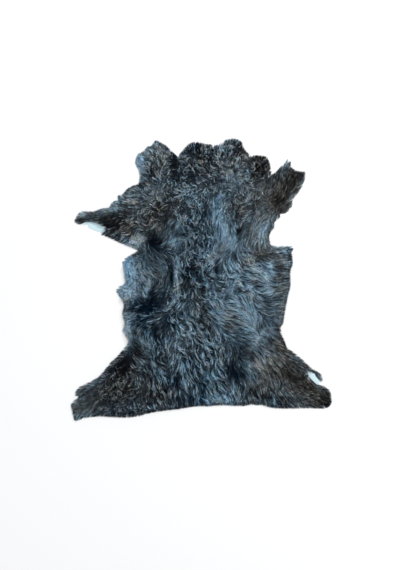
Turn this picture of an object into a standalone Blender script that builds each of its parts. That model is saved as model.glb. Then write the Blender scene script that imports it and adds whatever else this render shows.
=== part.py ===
# Sheepskin rug: one pelt that lies flat with its fleece up.
# Metres, +Z up. The neck points to +Y, the rump to -Y, and the flesh side lies on Z = 0.
# The pelt is one body: the tanned skin with the wool that grows from it, as a lumpy slab of
# tufts whose rim ends in separate locks.

import math
import random
from collections import namedtuple

import bmesh
import bpy
import numpy as np
from mathutils import Vector
from mathutils.geometry import delaunay_2d_cdt

# Driving sizes of the pelt
SKIN_THICKNESS = 0.0022      # tanned skin without its wool
RIM_HEIGHT = 0.0060          # wool and skin together at the outline
SHOULDER = 0.046             # how far in from the outline the fleece reaches its full height
OUTLINE_STEP = 0.0115        # spacing of the points along the outline

# Tufts of the fleece
TUFT_GAP = 0.0192            # least distance between the tips of two tufts
TUFT_TRIES = 24000           # places tried for tufts, which fills the pelt evenly
TUFT_RISE = 0.0070           # how far a tuft's tip stands above the mean height of the fleece
TUFT_LEAN = 0.0068           # how far a tip leans along the lay of the wool
HOLLOW_DROP = 0.0042         # how far the hollows between the tufts sink
HOLLOW_GAP = 0.0066          # least distance of a hollow from a tip or another hollow
UNEVEN = 0.15                # share by which one tuft's height differs from the next
TUFT_CLEARANCE = 0.0105      # least distance of a tuft's tip from the outline
HOLLOW_CLEARANCE = 0.0068    # least distance of a hollow from the outline

# Locks that stand out from the rim
LOCK_REACH = (0.0030, 0.0100)   # shortest and longest lock, beyond the outline
LOCK_SHARE = 0.42               # share of the rim's stretches that bear a lock
LOCK_TIP = 0.24                 # width of a lock's tip as a share of its root
LOCK_SWEEP = 0.45               # how far a lock is combed towards the lay, as a share of its reach
LOCK_CLEARANCE = 0.0080         # least room in front of a lock's tip
SHARP_TURN = 0.9                # no lock stands where the outline turns by more than this, in radians
SEED = 11

# How places in the tables blend
BLEND_REACH = 0.02           # distance within which the nearest place counts alone
BARE_CORE = 0.95             # wool begins to grow at this share of a bare patch's half size
BARE_FADE = 0.35             # and is whole this much farther out

# How the fleece's points are joined into triangles
WITHIN_OUTLINE = 1           # the triangulation keeps only what lies within its outline
MERGE_GAP = 1e-7             # points nearer than this are one

# A point of the outline: its place, and whether the edge turns sharply there.
OutlinePoint = namedtuple("OutlinePoint", "x y sharp")
# Height of the fleece about a place, and how strongly it parts into tufts.
PileSpot = namedtuple("PileSpot", "name x y height tufts")
# Direction in which the wool lies about a place, in degrees from +X towards +Y.
LaySpot = namedtuple("LaySpot", "name x y degrees")
# A trough in the fleece from one place to another, and the share of the height that it takes.
Crease = namedtuple("Crease", "name x1 y1 x2 y2 width depth")
# A place where the skin is bare.
BarePatch = namedtuple("BarePatch", "name x y length width degrees")

SHARP, SOFT = True, False

# The outline clockwise as seen from above, in stretches that follow each other
OUTLINE = {
    "neck": [
        (-0.094, 0.441, SHARP), (-0.082, 0.442, SOFT), (-0.064, 0.457, SOFT), (-0.046, 0.475, SOFT),
        (-0.027, 0.484, SOFT), (0.008, 0.475, SOFT), (0.067, 0.473, SOFT), (0.080, 0.486, SOFT),
        (0.098, 0.493, SOFT), (0.118, 0.495, SOFT), (0.132, 0.489, SOFT), (0.139, 0.469, SOFT),
        (0.155, 0.456, SOFT), (0.176, 0.432, SHARP), (0.188, 0.442, SOFT), (0.228, 0.438, SOFT),
        (0.233, 0.428, SOFT), (0.239, 0.409, SOFT), (0.243, 0.366, SHARP),
    ],
    "right foreleg": [
        (0.264, 0.380, SOFT), (0.285, 0.401, SOFT), (0.301, 0.415, SOFT), (0.311, 0.431, SHARP),
        (0.312, 0.406, SHARP), (0.333, 0.390, SOFT), (0.365, 0.384, SHARP), (0.361, 0.363, SOFT),
        (0.354, 0.342, SOFT), (0.336, 0.314, SOFT), (0.316, 0.290, SHARP), (0.317, 0.270, SOFT),
        (0.308, 0.258, SOFT), (0.290, 0.244, SOFT), (0.251, 0.213, SHARP), (0.252, 0.190, SOFT),
        (0.240, 0.178, SOFT), (0.233, 0.163, SOFT), (0.236, 0.143, SOFT), (0.243, 0.116, SHARP),
    ],
    "right flank": [
        (0.286, 0.118, SOFT), (0.321, 0.119, SHARP), (0.315, 0.104, SOFT), (0.317, 0.088, SOFT),
        (0.319, 0.060, SOFT), (0.311, 0.036, SOFT), (0.311, -0.018, SOFT), (0.304, -0.045, SOFT),
        (0.295, -0.089, SOFT), (0.289, -0.126, SOFT), (0.285, -0.151, SHARP), (0.276, -0.163, SHARP),
        (0.277, -0.188, SOFT), (0.290, -0.218, SOFT), (0.299, -0.245, SHARP),
    ],
    "right hind leg": [
        (0.327, -0.264, SOFT), (0.352, -0.282, SOFT), (0.369, -0.300, SOFT), (0.385, -0.316, SOFT),
        (0.408, -0.330, SOFT), (0.421, -0.343, SOFT), (0.423, -0.355, SOFT), (0.420, -0.370, SHARP),
        (0.427, -0.382, SOFT), (0.443, -0.388, SOFT), (0.453, -0.399, SOFT), (0.457, -0.416, SOFT),
        (0.458, -0.436, SOFT), (0.451, -0.446, SOFT), (0.434, -0.450, SOFT), (0.384, -0.449, SOFT),
    ],
    "rump": [
        (0.316, -0.450, SOFT), (0.266, -0.449, SOFT), (0.232, -0.442, SOFT), (0.211, -0.435, SOFT),
        (0.197, -0.437, SOFT), (0.177, -0.433, SOFT), (0.150, -0.438, SOFT), (0.076, -0.437, SOFT),
        (0.018, -0.442, SOFT), (-0.002, -0.441, SOFT), (-0.042, -0.445, SOFT), (-0.075, -0.451, SOFT),
        (-0.152, -0.460, SOFT), (-0.190, -0.467, SOFT),
    ],
    "left hind leg": [
        (-0.222, -0.476, SOFT), (-0.263, -0.482, SOFT), (-0.311, -0.482, SOFT), (-0.358, -0.479, SOFT),
        (-0.396, -0.481, SOFT), (-0.422, -0.484, SOFT), (-0.451, -0.495, SHARP), (-0.456, -0.476, SOFT),
        (-0.462, -0.444, SOFT), (-0.455, -0.434, SOFT), (-0.441, -0.428, SOFT), (-0.432, -0.414, SHARP),
        (-0.448, -0.405, SHARP), (-0.439, -0.390, SOFT), (-0.428, -0.380, SOFT), (-0.406, -0.372, SOFT),
        (-0.382, -0.360, SOFT), (-0.362, -0.347, SOFT), (-0.343, -0.324, SOFT), (-0.323, -0.299, SOFT),
        (-0.298, -0.276, SOFT), (-0.278, -0.252, SOFT), (-0.254, -0.222, SHARP),
    ],
    "left flank": [
        (-0.265, -0.196, SOFT), (-0.278, -0.178, SOFT), (-0.270, -0.154, SOFT), (-0.278, -0.118, SOFT),
        (-0.273, -0.098, SOFT), (-0.275, -0.077, SOFT), (-0.286, -0.057, SOFT), (-0.302, -0.030, SHARP),
        (-0.265, -0.015, SHARP), (-0.270, 0.009, SOFT), (-0.274, 0.040, SOFT), (-0.278, 0.070, SHARP),
        (-0.242, 0.092, SOFT), (-0.214, 0.103, SHARP),
    ],
    "left foreleg": [
        (-0.229, 0.117, SOFT), (-0.266, 0.132, SOFT), (-0.312, 0.153, SOFT), (-0.344, 0.167, SOFT),
        (-0.391, 0.184, SOFT), (-0.414, 0.195, SOFT), (-0.449, 0.214, SHARP), (-0.442, 0.229, SOFT),
        (-0.431, 0.240, SOFT), (-0.410, 0.241, SOFT), (-0.387, 0.239, SOFT), (-0.368, 0.248, SOFT),
        (-0.350, 0.254, SOFT), (-0.328, 0.253, SHARP), (-0.320, 0.271, SOFT), (-0.311, 0.279, SOFT),
        (-0.291, 0.279, SHARP), (-0.294, 0.301, SHARP), (-0.280, 0.303, SOFT), (-0.264, 0.323, SOFT),
        (-0.245, 0.334, SOFT), (-0.225, 0.340, SOFT),
    ],
    "left ear": [
        (-0.217, 0.356, SOFT), (-0.215, 0.379, SOFT), (-0.220, 0.402, SOFT), (-0.231, 0.424, SOFT),
        (-0.224, 0.448, SOFT), (-0.204, 0.458, SOFT), (-0.190, 0.474, SOFT), (-0.176, 0.474, SHARP),
        (-0.163, 0.494, SHARP), (-0.144, 0.482, SOFT), (-0.127, 0.472, SOFT), (-0.113, 0.456, SOFT),
    ],
}

PILE = [
    PileSpot("nape", 0.04, 0.42, 0.026, 1.0),
    PileSpot("withers", 0.00, 0.25, 0.034, 1.2),
    PileSpot("middle of the back", 0.00, 0.05, 0.040, 1.2),
    PileSpot("loin", 0.00, -0.20, 0.040, 1.1),
    PileSpot("rump", 0.02, -0.38, 0.034, 1.0),
    PileSpot("left ear", -0.17, 0.42, 0.023, 0.9),
    PileSpot("left shoulder", -0.19, 0.24, 0.029, 0.9),
    PileSpot("behind the left shoulder", -0.13, 0.13, 0.034, 0.5),
    PileSpot("left foreleg", -0.37, 0.21, 0.018, 0.7),
    PileSpot("right shoulder", 0.12, 0.20, 0.032, 0.5),
    PileSpot("right withers", 0.22, 0.24, 0.030, 0.7),
    PileSpot("right foreleg", 0.31, 0.34, 0.019, 0.7),
    PileSpot("left flank", -0.20, -0.06, 0.037, 0.8),
    PileSpot("lobe on the left flank", -0.14, 0.02, 0.039, 0.4),
    PileSpot("right flank", 0.25, 0.03, 0.036, 0.5),
    PileSpot("fan on the right belly", 0.13, -0.13, 0.041, 0.5),
    PileSpot("left stifle", -0.24, -0.33, 0.028, 1.0),
    PileSpot("left hock", -0.40, -0.43, 0.020, 0.8),
    PileSpot("right stifle", 0.26, -0.32, 0.028, 0.8),
    PileSpot("right hock", 0.41, -0.41, 0.021, 0.8),
]

LAY = [
    LaySpot("nape", 0.02, 0.44, 100),
    LaySpot("withers", 0.00, 0.27, -80),
    LaySpot("back", 0.00, 0.03, -85),
    LaySpot("loin", 0.02, -0.20, -80),
    LaySpot("rump", 0.02, -0.40, -88),
    LaySpot("left ear", -0.18, 0.42, 120),
    LaySpot("left shoulder", -0.20, 0.25, 150),
    LaySpot("left foreleg", -0.37, 0.21, 170),
    LaySpot("right shoulder", 0.18, 0.24, -30),
    LaySpot("right foreleg", 0.31, 0.34, 45),
    LaySpot("left flank", -0.22, -0.02, -150),
    LaySpot("left belly", -0.24, -0.15, 180),
    LaySpot("right flank", 0.26, 0.03, -5),
    LaySpot("right belly", 0.22, -0.15, -25),
    LaySpot("left stifle", -0.26, -0.34, -130),
    LaySpot("left hock", -0.40, -0.43, -160),
    LaySpot("right stifle", 0.26, -0.32, -50),
    LaySpot("right hock", 0.41, -0.41, -25),
]

CREASES = [
    Crease("between the left ear and the neck", -0.098, 0.450, -0.092, 0.345, 0.020, 0.60),
    Crease("behind the left foreleg", -0.215, 0.110, -0.100, 0.160, 0.028, 0.50),
    Crease("shadow on the left foreleg", -0.300, 0.200, -0.345, 0.225, 0.024, 0.35),
    Crease("arc on the left flank, upper", -0.150, 0.110, -0.095, 0.040, 0.018, 0.40),
    Crease("arc on the left flank, lower", -0.095, 0.040, -0.150, -0.060, 0.018, 0.45),
    Crease("pit on the left flank", -0.205, -0.040, -0.180, -0.095, 0.028, 0.50),
    Crease("parting right of the back", 0.058, 0.075, 0.054, 0.015, 0.012, 0.50),
    Crease("edge of the curls, right", 0.105, 0.270, 0.060, 0.110, 0.020, 0.25),
    Crease("right belly", 0.130, 0.020, 0.215, -0.200, 0.020, 0.25),
    Crease("right haunch", 0.120, -0.250, 0.130, -0.330, 0.030, 0.50),
    Crease("right hock", 0.330, -0.385, 0.400, -0.372, 0.014, 0.45),
    Crease("left haunch", -0.245, -0.235, -0.190, -0.330, 0.030, 0.40),
    Crease("left hock", -0.435, -0.412, -0.360, -0.400, 0.014, 0.40),
    Crease("right foreleg, rear", 0.300, 0.285, 0.250, 0.290, 0.014, 0.35),
    Crease("right foreleg, front", 0.246, 0.370, 0.232, 0.320, 0.014, 0.45),
]

BARE = [
    BarePatch("left foreleg", -0.392, 0.197, 0.054, 0.022, -24),
    BarePatch("right hind leg", 0.406, -0.350, 0.036, 0.018, -38),
]

WOOL_COLOUR = (0.055, 0.062, 0.070, 1.0)
WOOL_ROUGHNESS = 0.62


def clear_scene():
    for old in list(bpy.data.objects):
        bpy.data.objects.remove(old, do_unlink=True)


def wool_material():
    material = bpy.data.materials.new("dark_wool")
    material.use_nodes = True
    shader = material.node_tree.nodes["Principled BSDF"]
    shader.inputs["Base Color"].default_value = WOOL_COLOUR
    shader.inputs["Roughness"].default_value = WOOL_ROUGHNESS
    shader.inputs["Metallic"].default_value = 0.0
    return material


def outline_curve(before, start, end, after, share):
    """A point between start and end, on a curve that is straight at a sharp end."""
    chord = Vector((end.x - start.x, end.y - start.y))
    leave = chord if start.sharp else Vector((end.x - before.x, end.y - before.y)) / 2
    arrive = chord if end.sharp else Vector((after.x - start.x, after.y - start.y)) / 2
    # A long neighbour doesn't throw a short stretch off its course.
    leave = leave * min(1.0, chord.length / leave.length)
    arrive = arrive * min(1.0, chord.length / arrive.length)
    square, cube = share ** 2, share ** 3
    return (
        Vector((start.x, start.y)) * (2 * cube - 3 * square + 1)
        + leave * (cube - 2 * square + share)
        + Vector((end.x, end.y)) * (3 * square - 2 * cube)
        + arrive * (cube - square)
    )


def pelt_outline():
    """The outline as a closed row of points about OUTLINE_STEP apart."""
    corners = [OutlinePoint(*row) for stretch in OUTLINE.values() for row in stretch]
    count = len(corners)
    line = []
    for i, start in enumerate(corners):
        before, end, after = corners[i - 1], corners[(i + 1) % count], corners[(i + 2) % count]
        length = math.hypot(end.x - start.x, end.y - start.y)
        steps = max(1, round(length / OUTLINE_STEP))
        line += [outline_curve(before, start, end, after, k / steps) for k in range(steps)]
    return np.array([point[:] for point in line])


def distance_to_line(points, start, end):
    """Distance of each point from the straight line between start and end."""
    run = end - start
    share = np.clip((points - start) @ run / (run @ run), 0, 1)
    return np.linalg.norm(points - start - share[:, None] * run, axis=1)


def distance_to_outline(points, outline, left_out=()):
    """Distance of each point from the outline, apart from the stretches that are left out."""
    nearest = np.full(len(points), np.inf)
    for k, start in enumerate(outline):
        if k not in left_out:
            end = outline[(k + 1) % len(outline)]
            nearest = np.minimum(nearest, distance_to_line(points, start, end))
    return nearest


def inside(points, outline):
    """Which points lie within the outline."""
    crossings = np.zeros(len(points), bool)
    for start, end in zip(outline, np.roll(outline, -1, axis=0)):
        if start[1] == end[1]:
            continue
        beside = (start[1] > points[:, 1]) != (end[1] > points[:, 1])
        across = start[0] + (points[:, 1] - start[1]) * (end[0] - start[0]) / (end[1] - start[1])
        crossings ^= beside & (points[:, 0] < across)
    return crossings


def nearness(points, spots):
    """How much each spot counts at each point: a row for each point, whose shares add up to 1."""
    places = np.array([(spot.x, spot.y) for spot in spots])
    gaps = np.linalg.norm(points[:, None] - places[None], axis=2)
    shares = 1 / (gaps + BLEND_REACH) ** 3
    return shares / shares.sum(axis=1, keepdims=True)


def lay_direction(points):
    angles = np.radians([spot.degrees for spot in LAY])
    blend = nearness(points, LAY) @ np.column_stack([np.cos(angles), np.sin(angles)])
    return blend / np.linalg.norm(blend, axis=1, keepdims=True)


def crease_share(points):
    """What is left of the fleece's height beside the creases."""
    left = np.ones(len(points))
    for crease in CREASES:
        start, end = np.array((crease.x1, crease.y1)), np.array((crease.x2, crease.y2))
        gap = distance_to_line(points, start, end)
        left *= 1 - crease.depth * np.exp(-((gap / crease.width) ** 2))
    return left


def wool_share(points):
    """0 where the skin is bare, 1 where the wool is whole."""
    left = np.ones(len(points))
    for patch in BARE:
        turn = math.radians(patch.degrees)
        along = np.array((math.cos(turn), math.sin(turn)))
        across = np.array((-along[1], along[0]))
        offset = points - np.array((patch.x, patch.y))
        reach = np.hypot(offset @ along / (patch.length / 2), offset @ across / (patch.width / 2))
        left *= np.clip((reach - BARE_CORE) / BARE_FADE, 0, 1)
    return left


def tuft_tips(outline, chance):
    """Places of the tufts, scattered evenly but not in rows."""
    low, high = outline.min(axis=0), outline.max(axis=0)
    tried = np.array([
        (chance.uniform(low[0], high[0]), chance.uniform(low[1], high[1])) for _ in range(TUFT_TRIES)
    ])
    tried = tried[inside(tried, outline)]
    tried = tried[distance_to_outline(tried, outline) > TUFT_CLEARANCE]
    return keep_apart(tried, np.empty((0, 2)), TUFT_GAP)


def keep_apart(tried, standing, gap):
    """The tried places, in their order, that keep the gap from each other and from those that stand."""
    kept = list(standing)
    for place in tried:
        if not kept or np.linalg.norm(np.array(kept) - place, axis=1).min() > gap:
            kept.append(place)
    return np.array(kept[len(standing):])


def triangulate(outline, places):
    """Triangles over the outline and the places within it, as rows of three numbers of points."""
    corners = [Vector(point) for point in np.vstack([outline, places])]
    ring = list(range(len(outline)))
    _, _, triangles, sources, _, _ = delaunay_2d_cdt(
        corners, [], [ring], WITHIN_OUTLINE, MERGE_GAP
    )
    return [[sources[k][0] for k in triangle] for triangle in triangles]


def hollows_between(outline, tips):
    """A hollow in the middle of each triangle of tips that has room for it."""
    corners = np.vstack([outline, tips])
    middles = np.array([corners[triangle].mean(axis=0) for triangle in triangulate(outline, tips)])
    middles = middles[distance_to_outline(middles, outline) > HOLLOW_CLEARANCE]
    return keep_apart(middles, tips, HOLLOW_GAP)


def fleece_points(outline, chance):
    """Points of the fleece's surface, tips first and then hollows."""
    tips = tuft_tips(outline, chance)
    hollows = hollows_between(outline, tips)
    places = np.vstack([tips, hollows])
    is_tip = np.arange(len(places)) < len(tips)

    climb = np.sqrt(1 - (1 - np.clip(distance_to_outline(places, outline) / SHOULDER, 0, 1)) ** 2)
    fullness = climb * crease_share(places) * wool_share(places)
    blend = nearness(places, PILE)
    pile = blend @ np.array([spot.height for spot in PILE])
    tufts = blend @ np.array([spot.tufts for spot in PILE])
    uneven = np.array([chance.uniform(-UNEVEN, UNEVEN) for _ in places])
    wool = pile * (1 + uneven * is_tip) + tufts * np.where(is_tip, TUFT_RISE, -HOLLOW_DROP)
    height = np.maximum(SKIN_THICKNESS, RIM_HEIGHT + (wool - RIM_HEIGHT) * fullness)
    lean = lay_direction(places) * (TUFT_LEAN * is_tip * fullness)[:, None]
    return places, np.column_stack([places + lean, height])


def pelt_slab(outline, chance):
    """The pelt without its rim locks, and the faces of its wall in the order of the outline."""
    places, surface = fleece_points(outline, chance)
    rim_height = np.maximum(SKIN_THICKNESS, RIM_HEIGHT * wool_share(outline))
    mesh = bmesh.new()
    rim = [mesh.verts.new((*point, height)) for point, height in zip(outline, rim_height)]
    top = rim + [mesh.verts.new(point) for point in surface]
    floor = [mesh.verts.new((*point, 0)) for point in outline]
    for triangle in triangulate(outline, places):
        mesh.faces.new([top[k] for k in triangle])
    mesh.faces.new(floor)
    wall = []
    for k in range(len(outline)):
        after = (k + 1) % len(outline)
        wall.append(mesh.faces.new([floor[k], floor[after], rim[after], rim[k]]))
    bmesh.ops.recalc_face_normals(mesh, faces=mesh.faces[:])
    return mesh, wall


def turn_at(outline, k):
    """How sharply the outline turns at a point, in radians."""
    into = outline[k] - outline[k - 1]
    out = outline[(k + 1) % len(outline)] - outline[k]
    return abs(math.atan2(into[0] * out[1] - into[1] * out[0], into @ out))


def lock_tip(outline, k, reach):
    """Where a lock ends that grows from the outline's stretch k, or None where it has no room."""
    after = (k + 1) % len(outline)
    if max(turn_at(outline, k), turn_at(outline, after)) > SHARP_TURN:
        return None
    run = outline[after] - outline[k]
    outward = np.array((-run[1], run[0])) / np.linalg.norm(run)
    middle = (outline[k] + outline[after]) / 2
    lay = lay_direction(middle[None])[0]
    tip = middle + outward * reach + (lay - outward * (lay @ outward)) * reach * LOCK_SWEEP
    beside = [(k + step) % len(outline) for step in (-2, -1, 0, 1, 2)]
    room = distance_to_outline(tip[None], outline, left_out=beside)[0]
    return tip if room > LOCK_CLEARANCE else None


def add_rim_locks(mesh, wall, outline, chance):
    """Draws locks out of the wall. Each lies level on the floor and thins towards its tip."""
    wool = wool_share(outline)
    added = 0
    for k, face in enumerate(wall):
        wanted = chance.random() < LOCK_SHARE
        reach = chance.uniform(*LOCK_REACH)
        tip = lock_tip(outline, k, reach) if wanted else None
        after = (k + 1) % len(outline)
        if tip is None or min(wool[k], wool[after]) < 1:
            continue
        middle = (outline[k] + outline[after]) / 2
        drawn = bmesh.ops.extrude_discrete_faces(mesh, faces=[face])["faces"][0]
        for corner in drawn.verts:
            across = (np.array(corner.co.xy) - middle) * LOCK_TIP
            corner.co = (*(tip + across), corner.co.z * LOCK_TIP)
        added += 1
    return added


def centre_over_origin(mesh):
    """Moves the pelt so that the origin is under the middle of its box."""
    corners = np.array([vertex.co[:] for vertex in mesh.verts])
    middle = (corners.min(axis=0) + corners.max(axis=0)) / 2
    bmesh.ops.translate(mesh, verts=mesh.verts[:], vec=(-middle[0], -middle[1], 0))


def build_pelt():
    chance = random.Random(SEED)
    outline = pelt_outline()
    mesh, wall = pelt_slab(outline, chance)
    locks = add_rim_locks(mesh, wall, outline, chance)
    centre_over_origin(mesh)
    for face in mesh.faces:
        face.smooth = True
    data = bpy.data.meshes.new("pelt")
    mesh.to_mesh(data)
    mesh.free()
    data.materials.append(wool_material())
    pelt = bpy.data.objects.new("pelt", data)
    bpy.context.scene.collection.objects.link(pelt)
    print("points of the outline", len(outline), "locks at the rim", locks)


clear_scene()
build_pelt()
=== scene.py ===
import math

import bmesh
import bpy
import numpy as np
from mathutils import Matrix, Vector
from mathutils.bvhtree import BVHTree
from mathutils.kdtree import KDTree


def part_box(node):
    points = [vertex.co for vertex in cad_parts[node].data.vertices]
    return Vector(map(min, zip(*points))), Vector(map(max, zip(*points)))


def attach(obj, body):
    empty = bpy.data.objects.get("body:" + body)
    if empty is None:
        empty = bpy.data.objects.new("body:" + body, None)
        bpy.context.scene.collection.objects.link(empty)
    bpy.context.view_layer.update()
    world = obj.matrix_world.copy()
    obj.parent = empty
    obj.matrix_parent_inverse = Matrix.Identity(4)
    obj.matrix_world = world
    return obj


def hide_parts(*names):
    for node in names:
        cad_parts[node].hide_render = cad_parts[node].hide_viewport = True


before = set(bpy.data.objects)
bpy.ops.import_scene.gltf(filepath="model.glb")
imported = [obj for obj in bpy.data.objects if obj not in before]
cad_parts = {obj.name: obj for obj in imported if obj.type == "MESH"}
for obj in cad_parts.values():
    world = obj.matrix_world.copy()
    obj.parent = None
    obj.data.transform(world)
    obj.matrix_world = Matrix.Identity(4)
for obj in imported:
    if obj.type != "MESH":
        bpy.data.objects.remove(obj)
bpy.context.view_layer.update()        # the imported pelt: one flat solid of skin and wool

chance = np.random.default_rng(20)
print("1/8 pelt loaded")


# camera: straight above the fleece, as the photograph looks at it
cameraValues = {
    "lens": 50.0,
    "sensor": 36.0,
    "imageHigh": 570,
    "metresPerPixel": 0.003546,
    "middleX": -0.0018,      # the point of the rug under the middle of the picture
    "middleY": -0.0160,
    "woolHeight": 0.03,      # the scale holds at this height
}


def makeCamera(values):
    data = bpy.data.cameras.new("cameraAbove")
    data.lens = values["lens"]
    data.sensor_width = values["sensor"]
    camera = bpy.data.objects.new("cameraAbove", data)
    bpy.context.scene.collection.objects.link(camera)
    seenHigh = values["metresPerPixel"] * values["imageHigh"]
    away = seenHigh * values["lens"] / values["sensor"]
    camera.location = (values["middleX"], values["middleY"], values["woolHeight"] + away)
    bpy.context.scene.camera = camera


def deselectAll():
    for each in bpy.context.selected_objects:
        each.select_set(False)


def selectOnly(piece):
    deselectAll()
    piece.select_set(True)
    bpy.context.view_layer.objects.active = piece


makeCamera(cameraValues)
print("2/8 camera set")


# the solid, read as two maps over the floor: how far in from its rim, and how high its wool is
mapValues = {
    "step": 0.004,
    "margin": 0.03,
    "weld": 0.00002,
    "rimLow": 0.0002,        # what lies lower belongs to the flat underside
    "tipHeight": 0.0018,     # the solid's own rim locks end lower than this, and are left out
    "upright": 0.001,        # how far aside the upper end of an upright edge may stand
    "downward": -0.9,        # faces that look down more than this are the underside
    "upward": 0.02,          # a lock stands where all faces look up more than this
    "depthRounds": 3,        # rounds of smoothing: of the depth, the height, and its broad swell
    "heightRounds": 2,
    "swellRounds": 14,
}


def rimLoop(solid, values):
    # the outline on the floor, in order, without the tips of the solid's rim locks
    beside = {}
    for edge in solid.edges:
        flat = [face.normal.z < values["downward"] for face in edge.link_faces]
        low = max(corner.co.z for corner in edge.verts) < values["rimLow"]
        if low and len(flat) == 2 and flat[0] != flat[1]:
            for corner in edge.verts:
                beside.setdefault(corner, []).append(edge.other_vert(corner))
    here = next(iter(beside))
    loop = []
    while here not in loop:
        loop.append(here)
        here = next((corner for corner in beside[here] if corner not in loop), loop[0])
    kept = []
    for corner in loop:
        ends = [edge.other_vert(corner).co for edge in corner.link_edges]
        above = [end.z for end in ends if (end.xy - corner.co.xy).length < values["upright"]]
        if max(above) > values["tipHeight"]:
            kept.append(corner.co.xy[:])
    return kept


def readSolid(values):
    solid = bmesh.new()
    solid.from_mesh(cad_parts["pelt"].data)
    bmesh.ops.remove_doubles(solid, verts=solid.verts, dist=values["weld"])
    solid.normal_update()
    loop = np.array(rimLoop(solid, values))
    rimEdges = np.stack([loop, np.roll(loop, -1, axis=0)], axis=1)
    lockPlaces = []
    for corner in solid.verts:
        steepest = min(face.normal.z for face in corner.link_faces)
        if corner.co.z > values["rimLow"] and steepest > values["upward"]:
            lockPlaces.append(corner.co[:])
    return solid, rimEdges, np.array(lockPlaces)


def mapSolid(values):
    solid, rimEdges, lockPlaces = readSolid(values)
    low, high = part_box("pelt")
    xs = np.arange(low.x - values["margin"], high.x + values["margin"], values["step"])
    ys = np.arange(low.y - values["margin"], high.y + values["margin"], values["step"])
    gridX, gridY = np.meshgrid(xs, ys)
    points = np.column_stack([gridX.ravel(), gridY.ravel()])
    nearest = np.full(len(points), np.inf)
    inside = np.zeros(len(points), bool)
    for start, end in rimEdges:
        run = end - start
        share = np.clip((points - start) @ run / max(run @ run, 1e-14), 0, 1)
        nearest = np.minimum(nearest, np.hypot(*(points - start - share[:, None] * run).T))
        if start[1] != end[1]:
            beside = (start[1] > points[:, 1]) != (end[1] > points[:, 1])
            inside ^= beside & (points[:, 0] < start[0] + (points[:, 1] - start[1]) * run[0] / run[1])
    tree = BVHTree.FromBMesh(solid)
    heights = np.zeros(len(points))
    for k in np.flatnonzero(inside):
        spot = tree.ray_cast(Vector((points[k, 0], points[k, 1], 1)), Vector((0, 0, -1)))[0]
        heights[k] = spot.z if spot else 0
    solid.free()
    shape = gridX.shape
    depth = np.where(inside, nearest, -nearest).reshape(shape)
    return {
        "x0": xs[0], "y0": ys[0], "step": values["step"], "shape": shape,
        "depth": depth, "height": heights.reshape(shape), "lockPlaces": lockPlaces, "rim": rimEdges,
        "fineStep": values["step"] / 2, "fineLayers": ("grain", "streak"),
    }


def smoothed(grid, rounds):
    for _ in range(rounds):
        edged = np.pad(grid, 1, mode="edge")
        grid = (edged[:-2, 1:-1] + edged[2:, 1:-1] + edged[1:-1, :-2] + edged[1:-1, 2:] + 4 * grid) / 8
    return grid


def readMap(layer, points):
    # bilinear reading of one layer of the map
    grid = pelt[layer]
    step = pelt["fineStep"] if layer in pelt["fineLayers"] else pelt["step"]
    column = np.clip((points[..., 0] - pelt["x0"]) / step, 0, grid.shape[1] - 1.001)
    row = np.clip((points[..., 1] - pelt["y0"]) / step, 0, grid.shape[0] - 1.001)
    c, r = column.astype(int), row.astype(int)
    u, v = column - c, row - r
    return (
        grid[r, c] * (1 - u) * (1 - v) + grid[r, c + 1] * u * (1 - v)
        + grid[r + 1, c] * (1 - u) * v + grid[r + 1, c + 1] * u * v
    )


def inward(points):
    # unit vectors that lead away from the nearest rim
    reach = 0.006
    east, north = np.array((reach, 0)), np.array((0, reach))
    slope = np.stack([
        readMap("softDepth", points + east) - readMap("softDepth", points - east),
        readMap("softDepth", points + north) - readMap("softDepth", points - north),
    ], axis=-1)
    return slope / np.maximum(np.linalg.norm(slope, axis=-1, keepdims=True), 1e-9)


pelt = mapSolid(mapValues)
pelt["softDepth"] = smoothed(pelt["depth"], mapValues["depthRounds"])
pelt["softHeight"] = smoothed(pelt["height"], mapValues["heightRounds"])
pelt["swell"] = smoothed(pelt["height"], mapValues["swellRounds"])
print("3/8 solid mapped:", len(pelt["rim"]), "rim edges,", len(pelt["lockPlaces"]), "places for locks")


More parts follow.
